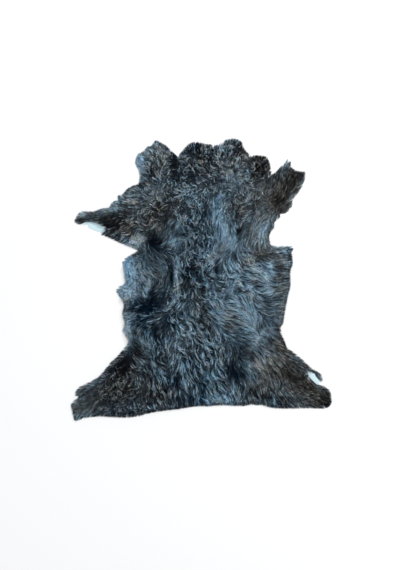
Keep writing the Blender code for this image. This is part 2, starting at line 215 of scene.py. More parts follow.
# how the wool lies: a spot in metres, direction in degrees, length in metres and style
woolStyles = {
    "curls": {
        "swing": 0.0023,     # side waves of the strands, and their length, in metres
        "wave": 0.0125,
        "points": 10,        # points along a strand
        "spread": 44,        # how far tufts turn from the lay, in degrees
        "hook": 120,         # how far tips curl round, in degrees
        "tuft": 0.018,       # distance between tufts
        "clump": 0.30,       # how far locks draw to the middle of their tuft
        "point": 0.60,       # how far strands draw to the middle of their lock
        "width": 1.02,       # of a strand, beside the common width
        "own": 0.80,         # how far each lock turns on its own, beside its tuft
        "vary": 1.60,        # how much locks differ in tone, beside the common measure
        "reliefShading": 0.35,      # the same for tufts, and for the painted light on crests and painted shade in hollows and at tuft edges
        "contrast": 1.45,    # and for the strands of a lock
    },
    "frizz": {
        "swing": 0.0012, "wave": 0.014, "points": 5, "spread": 34, "hook": 125,
        "tuft": 0.021, "clump": 0.28, "point": 0.44, "width": 0.84, "own": 0.75, "vary": 1.15,
        "reliefShading": 0.45, "contrast": 1.10,
    },
    "waves": {
        "swing": 0.0018, "wave": 0.021, "points": 5, "spread": 28, "hook": 62,
        "tuft": 0.030, "clump": 0.50, "point": 0.52, "width": 1.05, "own": 0.45, "vary": 1.10,
        "reliefShading": 1.00, "contrast": 1.15,
    },
    "soft": {
        "swing": 0.0009, "wave": 0.030, "points": 4.4, "spread": 18, "hook": 46,
        "tuft": 0.038, "clump": 0.42, "point": 0.42, "width": 0.96, "own": 0.35, "vary": 0.80,
        "reliefShading": 1.10, "contrast": 0.95,
    },
    "combed": {
        "swing": 0.0005, "wave": 0.042, "points": 3, "spread": 8, "hook": 20,
        "tuft": 0.050, "clump": 0.20, "point": 0.30, "width": 0.66, "own": 0.30, "vary": 0.40,
        "reliefShading": 0.60, "contrast": 0.56,
    },
    "sleek": {
        "swing": 0.0003, "wave": 0.040, "points": 3, "spread": 12, "hook": 10,
        "tuft": 0.050, "clump": 0.08, "point": 0.15, "width": 0.60, "own": 0.30, "vary": 0.35,
        "reliefShading": 0.55, "contrast": 0.50,
    },
}
layTable = {
    "left ear tip":         (-0.165, 0.459, 105, 0.032, "soft"),
    "left ear":             (-0.160, 0.415, 98, 0.030, "waves"),
    "left ear edge":        (-0.218, 0.406, 140, 0.030, "soft"),
    "ear valley":           (-0.098, 0.406, -95, 0.030, "waves"),
    "neck left":            (-0.041, 0.441, 125, 0.027, "curls"),
    "neck top left":        (-0.012, 0.478, 98, 0.030, "curls"),
    "neck top":             (0.036, 0.466, 88, 0.030, "curls"),
    "neck top right":       (0.070, 0.464, 76, 0.030, "curls"),
    "neck middle":          (0.030, 0.410, 165, 0.028, "curls"),
    "neck lobe":            (0.112, 0.470, 62, 0.032, "soft"),
    "neck right":           (0.205, 0.400, 60, 0.028, "frizz"),
    "neck blue curls":      (0.120, 0.370, 60, 0.030, "waves"),
    "withers left":         (-0.059, 0.310, -66, 0.028, "curls"),
    "withers":              (0.005, 0.300, -100, 0.026, "curls"),
    "right of the withers": (0.165, 0.330, -110, 0.028, "frizz"),
    "spine upper":          (-0.030, 0.225, -56, 0.028, "curls"),
    "spine middle":         (-0.005, 0.120, -80, 0.028, "curls"),
    "combed band top":      (0.045, 0.270, -100, 0.052, "combed"),
    "combed band":          (0.082, 0.205, -80, 0.058, "combed"),
    "combed band foot":     (0.092, 0.112, -126, 0.052, "combed"),
    "shoulder line":        (0.142, 0.228, -118, 0.042, "soft"),
    "right shoulder":       (0.195, 0.215, -128, 0.056, "combed"),
    "below the shoulder":   (0.215, 0.145, -118, 0.046, "combed"),
    "right foreleg root":   (0.268, 0.290, 54, 0.040, "combed"),
    "right foreleg":        (0.315, 0.350, 58, 0.032, "sleek"),
    "left shoulder":        (-0.165, 0.264, -135, 0.030, "frizz"),
    "left shoulder edge":   (-0.235, 0.285, 150, 0.034, "soft"),
    "left foreleg":         (-0.350, 0.225, 170, 0.024, "sleek"),
    "left foreleg rear":    (-0.290, 0.165, -150, 0.030, "soft"),
    "smooth patch":         (-0.105, 0.158, 62, 0.050, "combed"),
    "left flank edge":      (-0.262, 0.045, -72, 0.036, "combed"),
    "left flank":           (-0.207, 0.030, -68, 0.044, "combed"),
    "round lobe":           (-0.158, 0.050, -42, 0.042, "combed"),
    "round lobe side":      (-0.122, 0.010, -92, 0.040, "combed"),
    "round lobe foot":      (-0.148, -0.040, -132, 0.040, "combed"),
    "below the scallop":    (-0.212, -0.062, -40, 0.036, "combed"),
    "left belly lobe":      (-0.262, -0.188, -84, 0.036, "combed"),
    "scallop":              (-0.262, -0.045, -142, 0.034, "combed"),
    "left pit":             (-0.193, -0.101, 172, 0.042, "soft"),
    "left belly":           (-0.250, -0.130, 178, 0.040, "combed"),
    "back left":            (-0.060, 0.010, -56, 0.040, "waves"),
    "back":                 (0.012, -0.030, -60, 0.042, "waves"),
    "right of the back":    (0.090, 0.050, -60, 0.046, "soft"),
    "zigzags":              (0.155, -0.010, -34, 0.042, "soft"),
    "right flank":          (0.250, 0.060, -4, 0.050, "combed"),
    "right flank edge":     (0.295, 0.020, 0, 0.045, "combed"),
    "flank top edge":       (0.268, 0.095, 2, 0.036, "combed"),
    "right belly edge":     (0.278, -0.108, -4, 0.045, "combed"),
    "right flank low":      (0.262, -0.030, 0, 0.045, "combed"),
    "right flank lower":    (0.256, -0.080, -3, 0.045, "combed"),
    "patch side":           (0.420, -0.335, -46, 0.026, "sleek"),
    "fan top":              (0.088, -0.080, -30, 0.052, "combed"),
    "fan":                  (0.135, -0.130, -14, 0.056, "combed"),
    "fan foot":             (0.160, -0.190, -24, 0.050, "combed"),
    "loin left":            (-0.080, -0.180, -68, 0.044, "waves"),
    "loin":                 (0.012, -0.200, -72, 0.046, "waves"),
    "croup":                (0.050, -0.300, -84, 0.048, "soft"),
    "left haunch":          (-0.215, -0.262, -54, 0.048, "soft"),
    "left stifle":          (-0.275, -0.345, -110, 0.028, "frizz"),
    "haunch sweep":         (-0.160, -0.345, -50, 0.050, "soft"),
    "croup streak":         (-0.068, -0.340, -84, 0.050, "soft"),
    "thigh foot":           (-0.240, -0.430, -96, 0.028, "frizz"),
    "below the lobe":       (-0.105, -0.075, -128, 0.040, "waves"),
    "zigzags left":         (0.092, -0.010, 50, 0.040, "soft"),
    "fan right":            (0.188, -0.080, -58, 0.052, "combed"),
    "fan side":             (0.205, -0.160, -66, 0.046, "combed"),
    "left hind leg":        (-0.330, -0.415, -118, 0.027, "frizz"),
    "shoulder frizz":       (0.170, 0.262, -118, 0.030, "frizz"),
    "beside the band":      (0.118, 0.290, -100, 0.028, "frizz"),
    "band end":             (0.062, 0.070, -122, 0.046, "soft"),
    "shoulder middle":      (0.165, 0.180, -128, 0.054, "combed"),
    "shoulder upper":       (0.225, 0.245, -128, 0.048, "combed"),
    "shoulder foot":        (0.132, 0.135, -124, 0.050, "combed"),
    "flank start":          (0.178, 0.062, -44, 0.040, "soft"),
    "band side":            (0.116, 0.178, -86, 0.050, "combed"),
    "below the band":       (0.145, 0.092, -48, 0.040, "soft"),
    "left hock":            (-0.400, -0.415, -160, 0.030, "sleek"),
    "left hock fan":        (-0.395, -0.465, -135, 0.030, "combed"),
    "rump left":            (-0.150, -0.440, -72, 0.036, "soft"),
    "rump":                 (0.030, -0.420, -60, 0.040, "soft"),
    "rump right":           (0.207, -0.420, -84, 0.038, "soft"),
    "right stifle":         (0.243, -0.300, -52, 0.044, "combed"),
    "right thigh":          (0.345, -0.335, -38, 0.032, "sleek"),
    "right hock":           (0.420, -0.415, -28, 0.026, "sleek"),
}
laySharpness = {"reach": 0.016, "power": 4.4}


def unit(vectors):
    return vectors / np.maximum(np.linalg.norm(vectors, axis=-1, keepdims=True), 1e-9)


def turned(vectors, angles):
    return np.stack([
        vectors[..., 0] * np.cos(angles) - vectors[..., 1] * np.sin(angles),
        vectors[..., 0] * np.sin(angles) + vectors[..., 1] * np.cos(angles),
    ], axis=-1)


def readLay(points):
    # direction and style at each point, blended from the nearest spots
    rows = list(layTable.values())
    spots = np.array([row[:2] for row in rows])
    gaps = np.linalg.norm(points[:, None] - spots[None], axis=2)
    share = 1 / (gaps + laySharpness["reach"]) ** laySharpness["power"]
    share /= share.sum(axis=1, keepdims=True)
    angles = np.radians([row[2] for row in rows])
    heading = share @ np.column_stack([np.cos(angles), np.sin(angles)])
    given = {
        "agreement": np.linalg.norm(heading, axis=1),
        "length": share @ np.array([row[3] for row in rows]),
    }
    for name in woolStyles["curls"]:
        given[name] = share @ np.array([woolStyles[row[4]][name] for row in rows])
    return unit(heading), given


# the lay as a map with swirls in it, and fine streaks of light and dark that run along it
streakValues = {
    "wideSwirl": 30,         # rounds of smoothing: more make wider swirls
    "smallSwirl": 7,
    "wideTurn": 0.75,        # how much each kind of swirl turns the lay
    "smallTurn": 0.5,
    "calmRim": 0.028,        # nearer the rim than this the swirls fade, down to a share of themselves
    "calmShare": 0.32,
    "clouds": 9,             # rounds of smoothing for patches that are bluer, with more of the painted sky sheen, and browner
    "reach": 10,             # steps each way that a streak runs, and the length of one
    "stride": 0.0022,
}


def softNoise(shape, rounds):
    grid = smoothed(chance.normal(size=shape), rounds)
    return grid / grid.std()


def mapLay(values):
    shape = pelt["shape"]
    rows, columns = np.mgrid[0:shape[0], 0:shape[1]]
    points = np.column_stack([columns.ravel(), rows.ravel()]) * pelt["step"] + (pelt["x0"], pelt["y0"])
    heading, given = readLay(points)
    swirl = values["wideTurn"] * softNoise(shape, values["wideSwirl"])
    swirl += values["smallTurn"] * softNoise(shape, values["smallSwirl"])
    swirl *= np.clip(pelt["depth"] / values["calmRim"], values["calmShare"], 1)
    heading = turned(heading, np.radians(given["spread"]) * swirl.ravel())
    pelt["east"], pelt["north"] = heading[:, 0].reshape(shape), heading[:, 1].reshape(shape)
    pelt["cloud"] = softNoise(shape, values["clouds"])


def readHeading(points):
    return unit(np.stack([readMap("east", points), readMap("north", points)], axis=-1))


def mapStreaks(values):
    # grains of light and dark, drawn out along the lay
    shape = (pelt["shape"][0] * 2, pelt["shape"][1] * 2)
    pelt["grain"] = chance.normal(size=shape)
    rows, columns = np.mgrid[0:shape[0], 0:shape[1]]
    start = np.stack([columns, rows], axis=-1) * pelt["fineStep"] + (pelt["x0"], pelt["y0"])
    drawn = pelt["grain"].copy()
    for way in (-1, 1):
        here = start
        for _ in range(values["reach"]):
            here = here + way * values["stride"] * readHeading(here)
            drawn += readMap("grain", here)
    pelt["streak"] = drawn / drawn.std()


# tone and blue of the fleece before the spots, and how strongly these change both; the blue is the bluish
# sheen of cool sky light, painted into the wool's colour
toneBase = {
    "tone": 0.815,
    "blue": 0.87,
    "strength": 1.80,
    "blueStrength": 1.27,
    "falloff": 0.8,          # how fast a spot fades outward
    "mostBlue": 1.7,
}
# where it is lighter or darker, and bluer or browner: middle, half length and half width in metres,
# turn in degrees, then what is added to the tone and to the blue. The tone is partly the wool's own and
# partly
# painted light and shade: painted sheen on ridges, seams, lobes and edges, painted shade in pits, hollows,
# valleys and holes; more blue is more of the painted sky sheen
toneTable = {
    "whole neck":           (0.020, 0.410, 0.240, 0.075, 0, -0.04, -0.31),
    "neck middle":          (-0.020, 0.420, 0.070, 0.050, 0, -0.12, 0.00),
    "neck top dark":        (-0.002, 0.484, 0.050, 0.022, 0, -0.44, -0.20),
    "neck lobe":            (0.080, 0.475, 0.040, 0.015, 0, 0.15, 0.10),
    "neck pale curls":      (0.130, 0.375, 0.045, 0.035, 60, 0.28, 0.02),
    "neck right":           (0.212, 0.420, 0.050, 0.040, -60, -0.39, -0.40),
    "ear edge":             (-0.222, 0.412, 0.045, 0.016, 90, 1.30, 0.30),
    "ear tip":              (-0.165, 0.470, 0.030, 0.020, 0, 0.20, 0.00),
    "ear valley":           (-0.096, 0.420, 0.065, 0.013, 92, -0.36, -0.18),
    "left shoulder edge":   (-0.250, 0.305, 0.050, 0.022, 40, 0.22, -0.26),
    "left shoulder":        (-0.165, 0.240, 0.110, 0.050, 20, -0.17, -0.52),
    "left foreleg edge":    (-0.325, 0.256, 0.040, 0.012, 15, 0.52, 0.00),
    "left foreleg":         (-0.300, 0.200, 0.090, 0.032, -20, -0.22, -0.50),
    "left armpit":          (-0.160, 0.135, 0.035, 0.025, -20, -0.52, -0.25),
    "pale tips":            (-0.234, 0.134, 0.030, 0.014, 30, 1.90, -0.25),
    "withers curls":        (-0.045, 0.300, 0.035, 0.030, -60, 0.10, 0.25),
    "left of the spine":    (-0.105, 0.245, 0.035, 0.030, 0, -0.10, -0.05),
    "band top":             (0.062, 0.265, 0.045, 0.025, -70, 0.15, 0.10),
    "band":                 (0.082, 0.195, 0.060, 0.024, -65, 0.38, 0.05),
    "band foot":            (0.110, 0.125, 0.050, 0.030, -50, 0.22, 0.05),
    "beside the band":      (0.138, 0.250, 0.045, 0.022, -75, -0.06, -0.38),
    "right shoulder":       (0.205, 0.195, 0.060, 0.030, 52, 0.12, -0.22),
    "below the shoulder":   (0.220, 0.130, 0.050, 0.030, 0, 0.17, -0.30),
    "shoulder root":        (0.205, 0.305, 0.060, 0.050, 45, 0.10, -0.30),
    "right foreleg":        (0.310, 0.340, 0.100, 0.045, 50, -0.13, -0.65),
    "right foreleg tip":    (0.300, 0.425, 0.020, 0.012, 70, 0.25, 0.10),
    "right foreleg rear":   (0.290, 0.270, 0.030, 0.030, 0, -0.20, -0.60),
    "left flank edge":      (-0.268, 0.030, 0.060, 0.024, 92, 1.10, 0.26),
    "left flank":           (-0.220, 0.020, 0.040, 0.030, 90, 0.30, 0.00),
    "round lobe":           (-0.145, 0.020, 0.050, 0.030, 85, -0.02, -0.12),
    "scallop":              (-0.262, -0.045, 0.030, 0.022, 0, 0.55, -0.10),
    "left pit":             (-0.198, -0.094, 0.050, 0.026, 15, -0.50, 0.22),
    "below the pit":        (-0.172, -0.180, 0.060, 0.035, -70, -0.38, 0.10),
    "left belly edge":      (-0.270, -0.186, 0.042, 0.015, 90, 2.10, -0.10),
    "back left":            (-0.035, 0.030, 0.035, 0.025, -80, -0.16, 0.08),
    "loin pale":            (-0.045, -0.190, 0.050, 0.030, -80, 0.24, 0.00),
    "loin dark":            (-0.103, -0.143, 0.030, 0.025, 0, -0.30, 0.12),
    "spine loin":           (0.015, -0.145, 0.050, 0.022, 90, 0.08, 0.00),
    "right back":           (0.110, -0.040, 0.130, 0.060, 90, 0.19, 0.04),
    "right flank":          (0.200, -0.040, 0.130, 0.045, 90, 0.14, -0.05),
    "right flank edge":     (0.290, -0.050, 0.160, 0.022, 90, -0.06, -0.30),
    "flank shine upper":    (0.246, 0.044, 0.028, 0.012, 72, 0.68, 0.10),
    "flank shine lower":    (0.240, -0.038, 0.036, 0.009, -8, 0.34, 0.05),
    "fan inner edge":       (0.072, -0.110, 0.080, 0.018, 90, 0.06, 0.00),
    "loin left":            (-0.100, -0.255, 0.035, 0.025, -60, 0.22, 0.00),
    "croup left":           (-0.040, -0.345, 0.050, 0.018, -80, 0.18, 0.05),
    "rump edge left":       (-0.240, -0.478, 0.080, 0.014, 5, -0.30, 0.00),
    "notch by the spine":   (0.056, 0.045, 0.022, 0.008, 90, -0.40, 0.15),
    "fan":                  (0.175, -0.140, 0.075, 0.030, -80, 0.12, 0.02),
    "fan foot":             (0.130, -0.265, 0.030, 0.030, 0, -0.24, 0.05),
    "dark hole":            (0.125, -0.325, 0.040, 0.028, -20, -0.46, 0.05),
    "right stifle":         (0.225, -0.310, 0.055, 0.035, -70, 0.26, -0.25),
    "right belly edge":     (0.302, -0.225, 0.050, 0.030, 90, -0.06, -0.50),
    "right thigh":          (0.335, -0.350, 0.100, 0.060, -35, -0.18, -0.70),
    "right hock":           (0.430, -0.425, 0.050, 0.040, 0, -0.13, -0.60),
    "neck lobe right":      (0.138, 0.470, 0.025, 0.025, 0, -0.38, -0.30),
    "left ear":             (-0.150, 0.425, 0.045, 0.030, 90, 0.22, -0.22),
    "left of the neck":     (-0.165, 0.305, 0.035, 0.028, 0, 0.26, -0.10),
    "smooth patch":         (-0.105, 0.135, 0.035, 0.025, 0, 0.18, 0.08),
    "beside the lobe":      (-0.095, -0.020, 0.070, 0.022, 90, 0.16, 0.00),
    "right flank foot":     (0.252, -0.075, 0.030, 0.022, 80, -0.10, -0.05),
    "below the fan":        (0.240, -0.255, 0.030, 0.022, -40, 0.20, 0.00),
    "left of the hole":     (0.072, -0.325, 0.020, 0.036, 0, -0.02, 0.00),
    "below the hole":       (0.135, -0.378, 0.028, 0.018, 0, -0.26, 0.00),
    "loin left edge":       (-0.095, -0.200, 0.020, 0.025, 0, 0.20, 0.00),
    "rump middle":          (-0.004, -0.430, 0.036, 0.025, 0, -0.13, 0.30),
    "ear hollow":           (-0.170, 0.392, 0.030, 0.010, 70, -0.34, -0.10),
    "ear foot":             (-0.215, 0.345, 0.020, 0.006, 10, -0.35, -0.10),
    "flank corner":         (-0.268, 0.070, 0.022, 0.018, 90, -0.28, 0.26),
    "flank hollow":         (-0.168, -0.040, 0.024, 0.011, 78, -0.28, 0.00),
    "flank ridge":          (-0.190, -0.028, 0.026, 0.007, 66, 0.80, 0.00),
    "lobe seam":            (-0.086, 0.028, 0.045, 0.006, 92, 0.85, 0.05),
    "beside the seam":      (-0.104, 0.020, 0.050, 0.008, 95, -0.60, 0.10),
    "lobe top":             (-0.150, 0.075, 0.030, 0.014, 0, 0.16, -0.15),
    "fan foot line":        (0.208, -0.205, 0.030, 0.006, 52, 1.00, 0.00),
    "beyond the foot line": (0.242, -0.225, 0.026, 0.010, 52, -0.30, -0.10),
    "fan hollow":           (0.112, -0.150, 0.030, 0.020, 80, 0.00, -0.20),
    "zigzag dark":          (0.152, 0.000, 0.022, 0.009, -30, -0.50, 0.05),
    "zigzag light":         (0.128, -0.012, 0.030, 0.006, 62, 0.60, 0.00),
    "fan top light":        (0.182, -0.030, 0.035, 0.007, -42, 0.52, 0.00),
    "beside the fan":       (0.218, -0.050, 0.045, 0.008, -58, -0.36, 0.00),
    "beside the neck":      (-0.100, 0.185, 0.030, 0.020, 0, -0.10, 0.00),
    "spine side":           (-0.042, 0.072, 0.060, 0.020, 90, -0.24, 0.00),
    "lobe side":            (-0.155, 0.075, 0.020, 0.020, 0, -0.16, 0.00),
    "rump valley":          (-0.100, -0.374, 0.038, 0.022, 80, -0.28, 0.28),
    "croup right":          (0.085, -0.265, 0.025, 0.020, 0, -0.18, 0.00),
    "brown by the seam":    (-0.070, -0.018, 0.022, 0.016, 60, -0.05, -0.34),
    "olive stripe":         (0.000, -0.100, 0.090, 0.016, -66, -0.04, -0.28),
    "olive flank":          (0.168, 0.066, 0.030, 0.022, 0, 0.04, -0.30),
    "brown flank":          (0.235, 0.095, 0.030, 0.014, 0, -0.12, -0.40),
    "haunch sweep light":   (-0.150, -0.320, 0.060, 0.010, -48, 0.30, 0.15),
    "haunch sweep dark":    (-0.185, -0.345, 0.035, 0.010, -40, -0.24, 0.00),
    "croup streak light":   (-0.062, -0.335, 0.055, 0.009, -82, 0.36, 0.10),
    "neck foot":            (-0.045, 0.365, 0.030, 0.020, 0, -0.16, 0.10),
    "neck lobe foot":       (0.135, 0.425, 0.035, 0.020, 0, 0.12, -0.05),
    "right of the neck":    (0.190, 0.365, 0.028, 0.022, 0, -0.14, -0.05),
    "withers blue":         (-0.040, 0.310, 0.025, 0.022, 0, 0.00, 0.05),
    "foreleg middle":       (-0.275, 0.250, 0.030, 0.020, 0, 0.10, 0.00),
    "foreleg foot":         (-0.325, 0.195, 0.030, 0.014, -20, -0.18, 0.00),
    "foreleg rear light":   (-0.240, 0.195, 0.045, 0.022, 0, 0.20, 0.15),
    "shoulder left light":  (-0.205, 0.245, 0.025, 0.022, 0, 0.12, 0.05),
    "beside the spine":     (-0.100, 0.250, 0.022, 0.022, 0, 0.15, 0.05),
    "shoulder light":       (0.200, 0.200, 0.030, 0.024, 0, 0.10, 0.05),
    "shoulder rear light":  (0.295, 0.135, 0.028, 0.028, 0, 0.16, 0.10),
    "below the withers":    (0.012, 0.190, 0.026, 0.028, 0, -0.14, 0.05),
    "back upper":           (-0.010, 0.080, 0.040, 0.024, 0, 0.17, 0.00),
    "back right":           (0.100, 0.025, 0.060, 0.026, 0, 0.04, 0.05),
    "back middle dark":     (0.012, -0.030, 0.022, 0.028, 0, -0.10, 0.00),
    "zigzag right dark":    (0.128, -0.040, 0.026, 0.022, 0, -0.15, 0.06),
    "fan top right":        (0.242, -0.032, 0.024, 0.024, 0, 0.20, -0.05),
    "belly side":           (0.292, -0.092, 0.022, 0.024, 0, 0.15, 0.00),
    "fan light":            (0.186, -0.120, 0.026, 0.036, 0, 0.12, 0.05),
    "pit side":             (-0.155, -0.150, 0.024, 0.024, 0, 0.16, -0.25),
    "loin middle":          (0.072, -0.205, 0.026, 0.030, 0, 0.18, 0.00),
    "loin edge":            (-0.098, -0.206, 0.022, 0.022, 0, 0.04, 0.04),
    "fan foot side":        (0.240, -0.205, 0.024, 0.022, 0, 0.16, -0.10),
    "above the hole":       (0.105, -0.265, 0.040, 0.020, 0, 0.20, -0.10),
    "stifle top":           (0.188, -0.262, 0.022, 0.022, 0, -0.13, -0.15),
    "haunch middle":        (-0.155, -0.270, 0.026, 0.026, 0, -0.12, -0.08),
    "croup middle dark":    (-0.040, -0.330, 0.026, 0.040, 0, -0.26, 0.10),
    "haunch top light":     (-0.212, -0.318, 0.024, 0.020, 0, 0.14, 0.08),
    "haunch foot light":    (-0.158, -0.375, 0.024, 0.022, 0, 0.16, 0.10),
    "thigh light":          (0.220, -0.374, 0.070, 0.022, 0, 0.28, 0.00),
    "thigh foot light":     (0.355, -0.385, 0.030, 0.030, 0, 0.16, -0.05),
    "left toe":             (-0.430, -0.470, 0.040, 0.030, 0, 0.02, -0.22),
    "left sole edge":       (-0.330, -0.492, 0.060, 0.012, 5, -0.10, -0.20),
    "back right dark":      (0.110, 0.095, 0.030, 0.012, -40, -0.24, 0.00),
    "shoulder edge light":  (-0.210, 0.248, 0.034, 0.024, 0, 0.14, 0.05),
    "below the band":       (0.138, 0.135, 0.026, 0.022, 0, -0.03, 0.05),
    "pit foot":             (-0.190, -0.215, 0.036, 0.030, 0, 0.17, 0.00),
    "hole light":           (0.122, -0.312, 0.024, 0.014, 0, 0.14, 0.00),
    "thigh root":           (0.320, -0.310, 0.040, 0.030, 0, 0.10, 0.00),
    "rump line dark":       (-0.035, -0.432, 0.040, 0.020, 0, -0.16, 0.08),
    "flank brown":          (0.228, 0.085, 0.034, 0.024, 0, -0.03, -0.22),
    "flank edge brown":     (0.292, 0.040, 0.050, 0.022, 90, -0.05, -0.22),
    "back middle light":    (0.012, -0.090, 0.022, 0.022, 0, 0.12, 0.00),
    "shoulder streak":      (0.222, 0.175, 0.055, 0.010, 56, 0.42, 0.08),
    "shoulder foot light":  (0.262, 0.138, 0.028, 0.022, 0, 0.18, 0.05),
    "band hollow":          (0.132, 0.172, 0.018, 0.010, 60, -0.45, -0.10),
    "flank middle light":   (0.205, 0.022, 0.036, 0.022, 0, 0.06, 0.02),
    "neck top shade":       (0.030, 0.455, 0.040, 0.026, 0, -0.10, 0.00),
    "loin right dark":      (0.045, -0.205, 0.036, 0.022, 0, -0.13, 0.05),
    "belly edge dark":      (0.298, -0.208, 0.026, 0.026, 0, -0.18, 0.00),
    "haunch low light":     (-0.190, -0.378, 0.034, 0.018, 0, 0.15, 0.05),
    "croup low dark":       (0.005, -0.385, 0.026, 0.030, 0, -0.12, 0.08),
    "left sole":            (-0.380, -0.488, 0.028, 0.014, 0, -0.18, 0.10),
    "hock sole":            (0.460, -0.440, 0.020, 0.020, 0, -0.20, 0.00),
    "right hock pale":      (0.345, -0.435, 0.030, 0.020, 0, 0.08, 0.00),
    "rump right":           (0.200, -0.400, 0.050, 0.040, 0, -0.15, -0.35),
    "rump":                 (0.078, -0.428, 0.045, 0.025, 0, 0.30, 0.15),
    "croup":                (0.010, -0.345, 0.030, 0.035, 0, -0.14, 0.15),
    "rump left":            (-0.140, -0.410, 0.070, 0.045, 0, -0.17, -0.40),
    "left haunch":          (-0.215, -0.258, 0.040, 0.030, 0, -0.22, -0.25),
    "left stifle":          (-0.275, -0.305, 0.050, 0.040, 50, -0.38, -0.38),
    "left hind leg":        (-0.320, -0.400, 0.130, 0.055, 20, -0.19, -0.50),
    "left hind edge":       (-0.425, -0.487, 0.050, 0.018, 5, 0.16, 0.15),
    "left hock":            (-0.450, -0.430, 0.030, 0.020, 0, 0.15, 0.00),
    "foreleg tip dark":     (-0.426, 0.215, 0.018, 0.012, 0, -0.30, -0.50),
    "foreleg tip light":    (-0.425, 0.236, 0.016, 0.008, 15, 0.50, -0.10),
    "spine upper dark":     (0.008, 0.246, 0.024, 0.026, 0, -0.18, 0.12),
    "beside the back":      (-0.098, 0.084, 0.022, 0.022, 0, -0.20, 0.00),
    "pit foot dark":        (-0.212, -0.148, 0.022, 0.020, 0, -0.26, 0.05),
    "stifle edge light":    (0.300, -0.265, 0.022, 0.022, 0, 0.22, 0.00),
    "neck foot right":      (0.130, 0.308, 0.024, 0.022, 0, 0.15, 0.00),
    "band foot light":      (0.072, 0.095, 0.024, 0.034, 0, 0.18, 0.00),
    "stifle side light":    (0.186, -0.318, 0.022, 0.022, 0, 0.24, 0.00),
    "thigh sole dark":      (0.298, -0.432, 0.026, 0.022, 0, -0.26, -0.10),
    "foreleg side dark":    (0.348, 0.370, 0.024, 0.024, 0, -0.28, -0.05),
    "neck middle light":    (0.072, 0.392, 0.026, 0.036, 0, 0.14, 0.00),
    "armpit side light":    (-0.160, 0.194, 0.022, 0.022, 0, 0.22, -0.25),
}


def readTone(points):
    tone = np.full(len(points), toneBase["tone"])
    blue = np.full(len(points), toneBase["blue"])
    for x, y, halfLong, halfWide, turn, lighter, bluer in toneTable.values():
        angle = math.radians(turn)
        offset = points - np.array((x, y))
        along = offset @ np.array((math.cos(angle), math.sin(angle))) / halfLong
        across = offset @ np.array((-math.sin(angle), math.cos(angle))) / halfWide
        weight = np.exp(-(along ** 2 + across ** 2) * toneBase["falloff"])
        # painted light and shade, and the wool's own tone, from each spot
        tone += lighter * weight * toneBase["strength"]
        blue += bluer * weight * toneBase["blueStrength"]
    return tone, np.clip(blue, 0, toneBase["mostBlue"])


# bare skin: middle, length, width in metres and turn in degrees
barePatches = {
    "left foreleg":   (-0.380, 0.191, 0.070, 0.028, -19),
    "right hind leg": (0.4035, -0.3470, 0.058, 0.0162, -45),
}
bareMargin = 1.15            # wool starts where the distance below is this
farAway = 9.0


def bareDistance(points):
    # 1 on the patch's edge, less inside it
    nearest = np.full(len(points), farAway)
    for x, y, long, wide, turn in barePatches.values():
        angle = math.radians(turn)
        offset = points - np.array((x, y))
        along = offset @ np.array((math.cos(angle), math.sin(angle))) / (long / 2)
        across = offset @ np.array((-math.sin(angle), math.cos(angle))) / (wide / 2)
        nearest = np.minimum(nearest, np.hypot(along, across))
    return nearest


# skin and underwool: a grid cut to the pelt's outline, drawn up to its thickness
gridValues = {
    "border": 2,             # cells left round the pelt
    "drawn": 0.62,           # corners nearer the cut line than this share of a cell are drawn onto it
}


def cutGrid(name, step, edgeGap):
    low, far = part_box("pelt")
    border = gridValues["border"]
    wide = far.x - low.x + 2 * border * step
    long = far.y - low.y + 2 * border * step
    deselectAll()
    bpy.ops.mesh.primitive_grid_add(
        x_subdivisions=round(wide / step), y_subdivisions=round(long / step), size=1,
        location=((low.x + wide / 2) - border * step, (low.y + long / 2) - border * step, 0),
    )
    piece = bpy.context.active_object
    piece.name = name
    bpy.ops.object.mode_set(mode="EDIT")
    bpy.ops.transform.resize(value=(wide, long, 1))
    bpy.ops.object.mode_set(mode="OBJECT")
    bpy.ops.object.transform_apply(location=True, rotation=True, scale=True)
    mesh = piece.data
    flat = np.zeros(len(mesh.vertices) * 3)
    mesh.vertices.foreach_get("co", flat)
    places = flat.reshape(-1, 3)
    short = edgeGap(places[:, :2]) - readMap("depth", places[:, :2])
    # corners near the cut line are drawn onto it, and faces that lie beyond it go
    near = np.abs(short) < step * gridValues["drawn"]
    places[near, :2] += inward(places[near, :2]) * short[near, None]
    mesh.vertices.foreach_set("co", places.ravel())
    gone = (short > 0) & ~near
    selectOnly(piece)
    bpy.ops.object.mode_set(mode="EDIT")
    bpy.ops.mesh.select_all(action="DESELECT")
    bpy.ops.mesh.select_mode(type="VERT")
    bpy.ops.object.mode_set(mode="OBJECT")
    mesh.vertices.foreach_set("select", gone)
    bpy.ops.object.mode_set(mode="EDIT")
    bpy.ops.mesh.delete(type="VERT")
    bpy.ops.mesh.select_all(action="SELECT")
    bpy.ops.mesh.delete_loose()
    bpy.ops.object.mode_set(mode="OBJECT")
    return piece


def drawUp(piece, bottom, topHeight):
    # extrudes the whole sheet upwards, then sets both faces to their heights
    lifted = 0.5
    selectOnly(piece)
    mesh = piece.data
    bpy.ops.object.mode_set(mode="EDIT")
    bpy.ops.mesh.select_all(action="SELECT")
    bpy.ops.mesh.extrude_region_move(TRANSFORM_OT_translate={"value": (0, 0, lifted)})
    bpy.ops.mesh.select_all(action="SELECT")
    bpy.ops.mesh.normals_make_consistent(inside=False)
    bpy.ops.object.mode_set(mode="OBJECT")
    flat = np.zeros(len(mesh.vertices) * 3)
    mesh.vertices.foreach_get("co", flat)
    places = flat.reshape(-1, 3)
    upper = places[:, 2] > lifted / 2
    places[:, 2] = np.where(upper, topHeight(places[:, :2]), bottom)
    mesh.vertices.foreach_set("co", places.ravel())
    mesh.update()


hideValues = {
    "step": 0.0130,
    "thickness": 0.0020,
    "edgeGap": 0.0065,       # the wool hangs this far over the cut edge of the skin
    "bareEdgeGap": 0.0012,   # and this far at the bare patches
    "bareReach": 2.4,        # how far round a patch that still counts, and fades
    "smoothAngle": 40,
    "wide": 0.92,            # what it is cut from
    "long": 0.99,
}


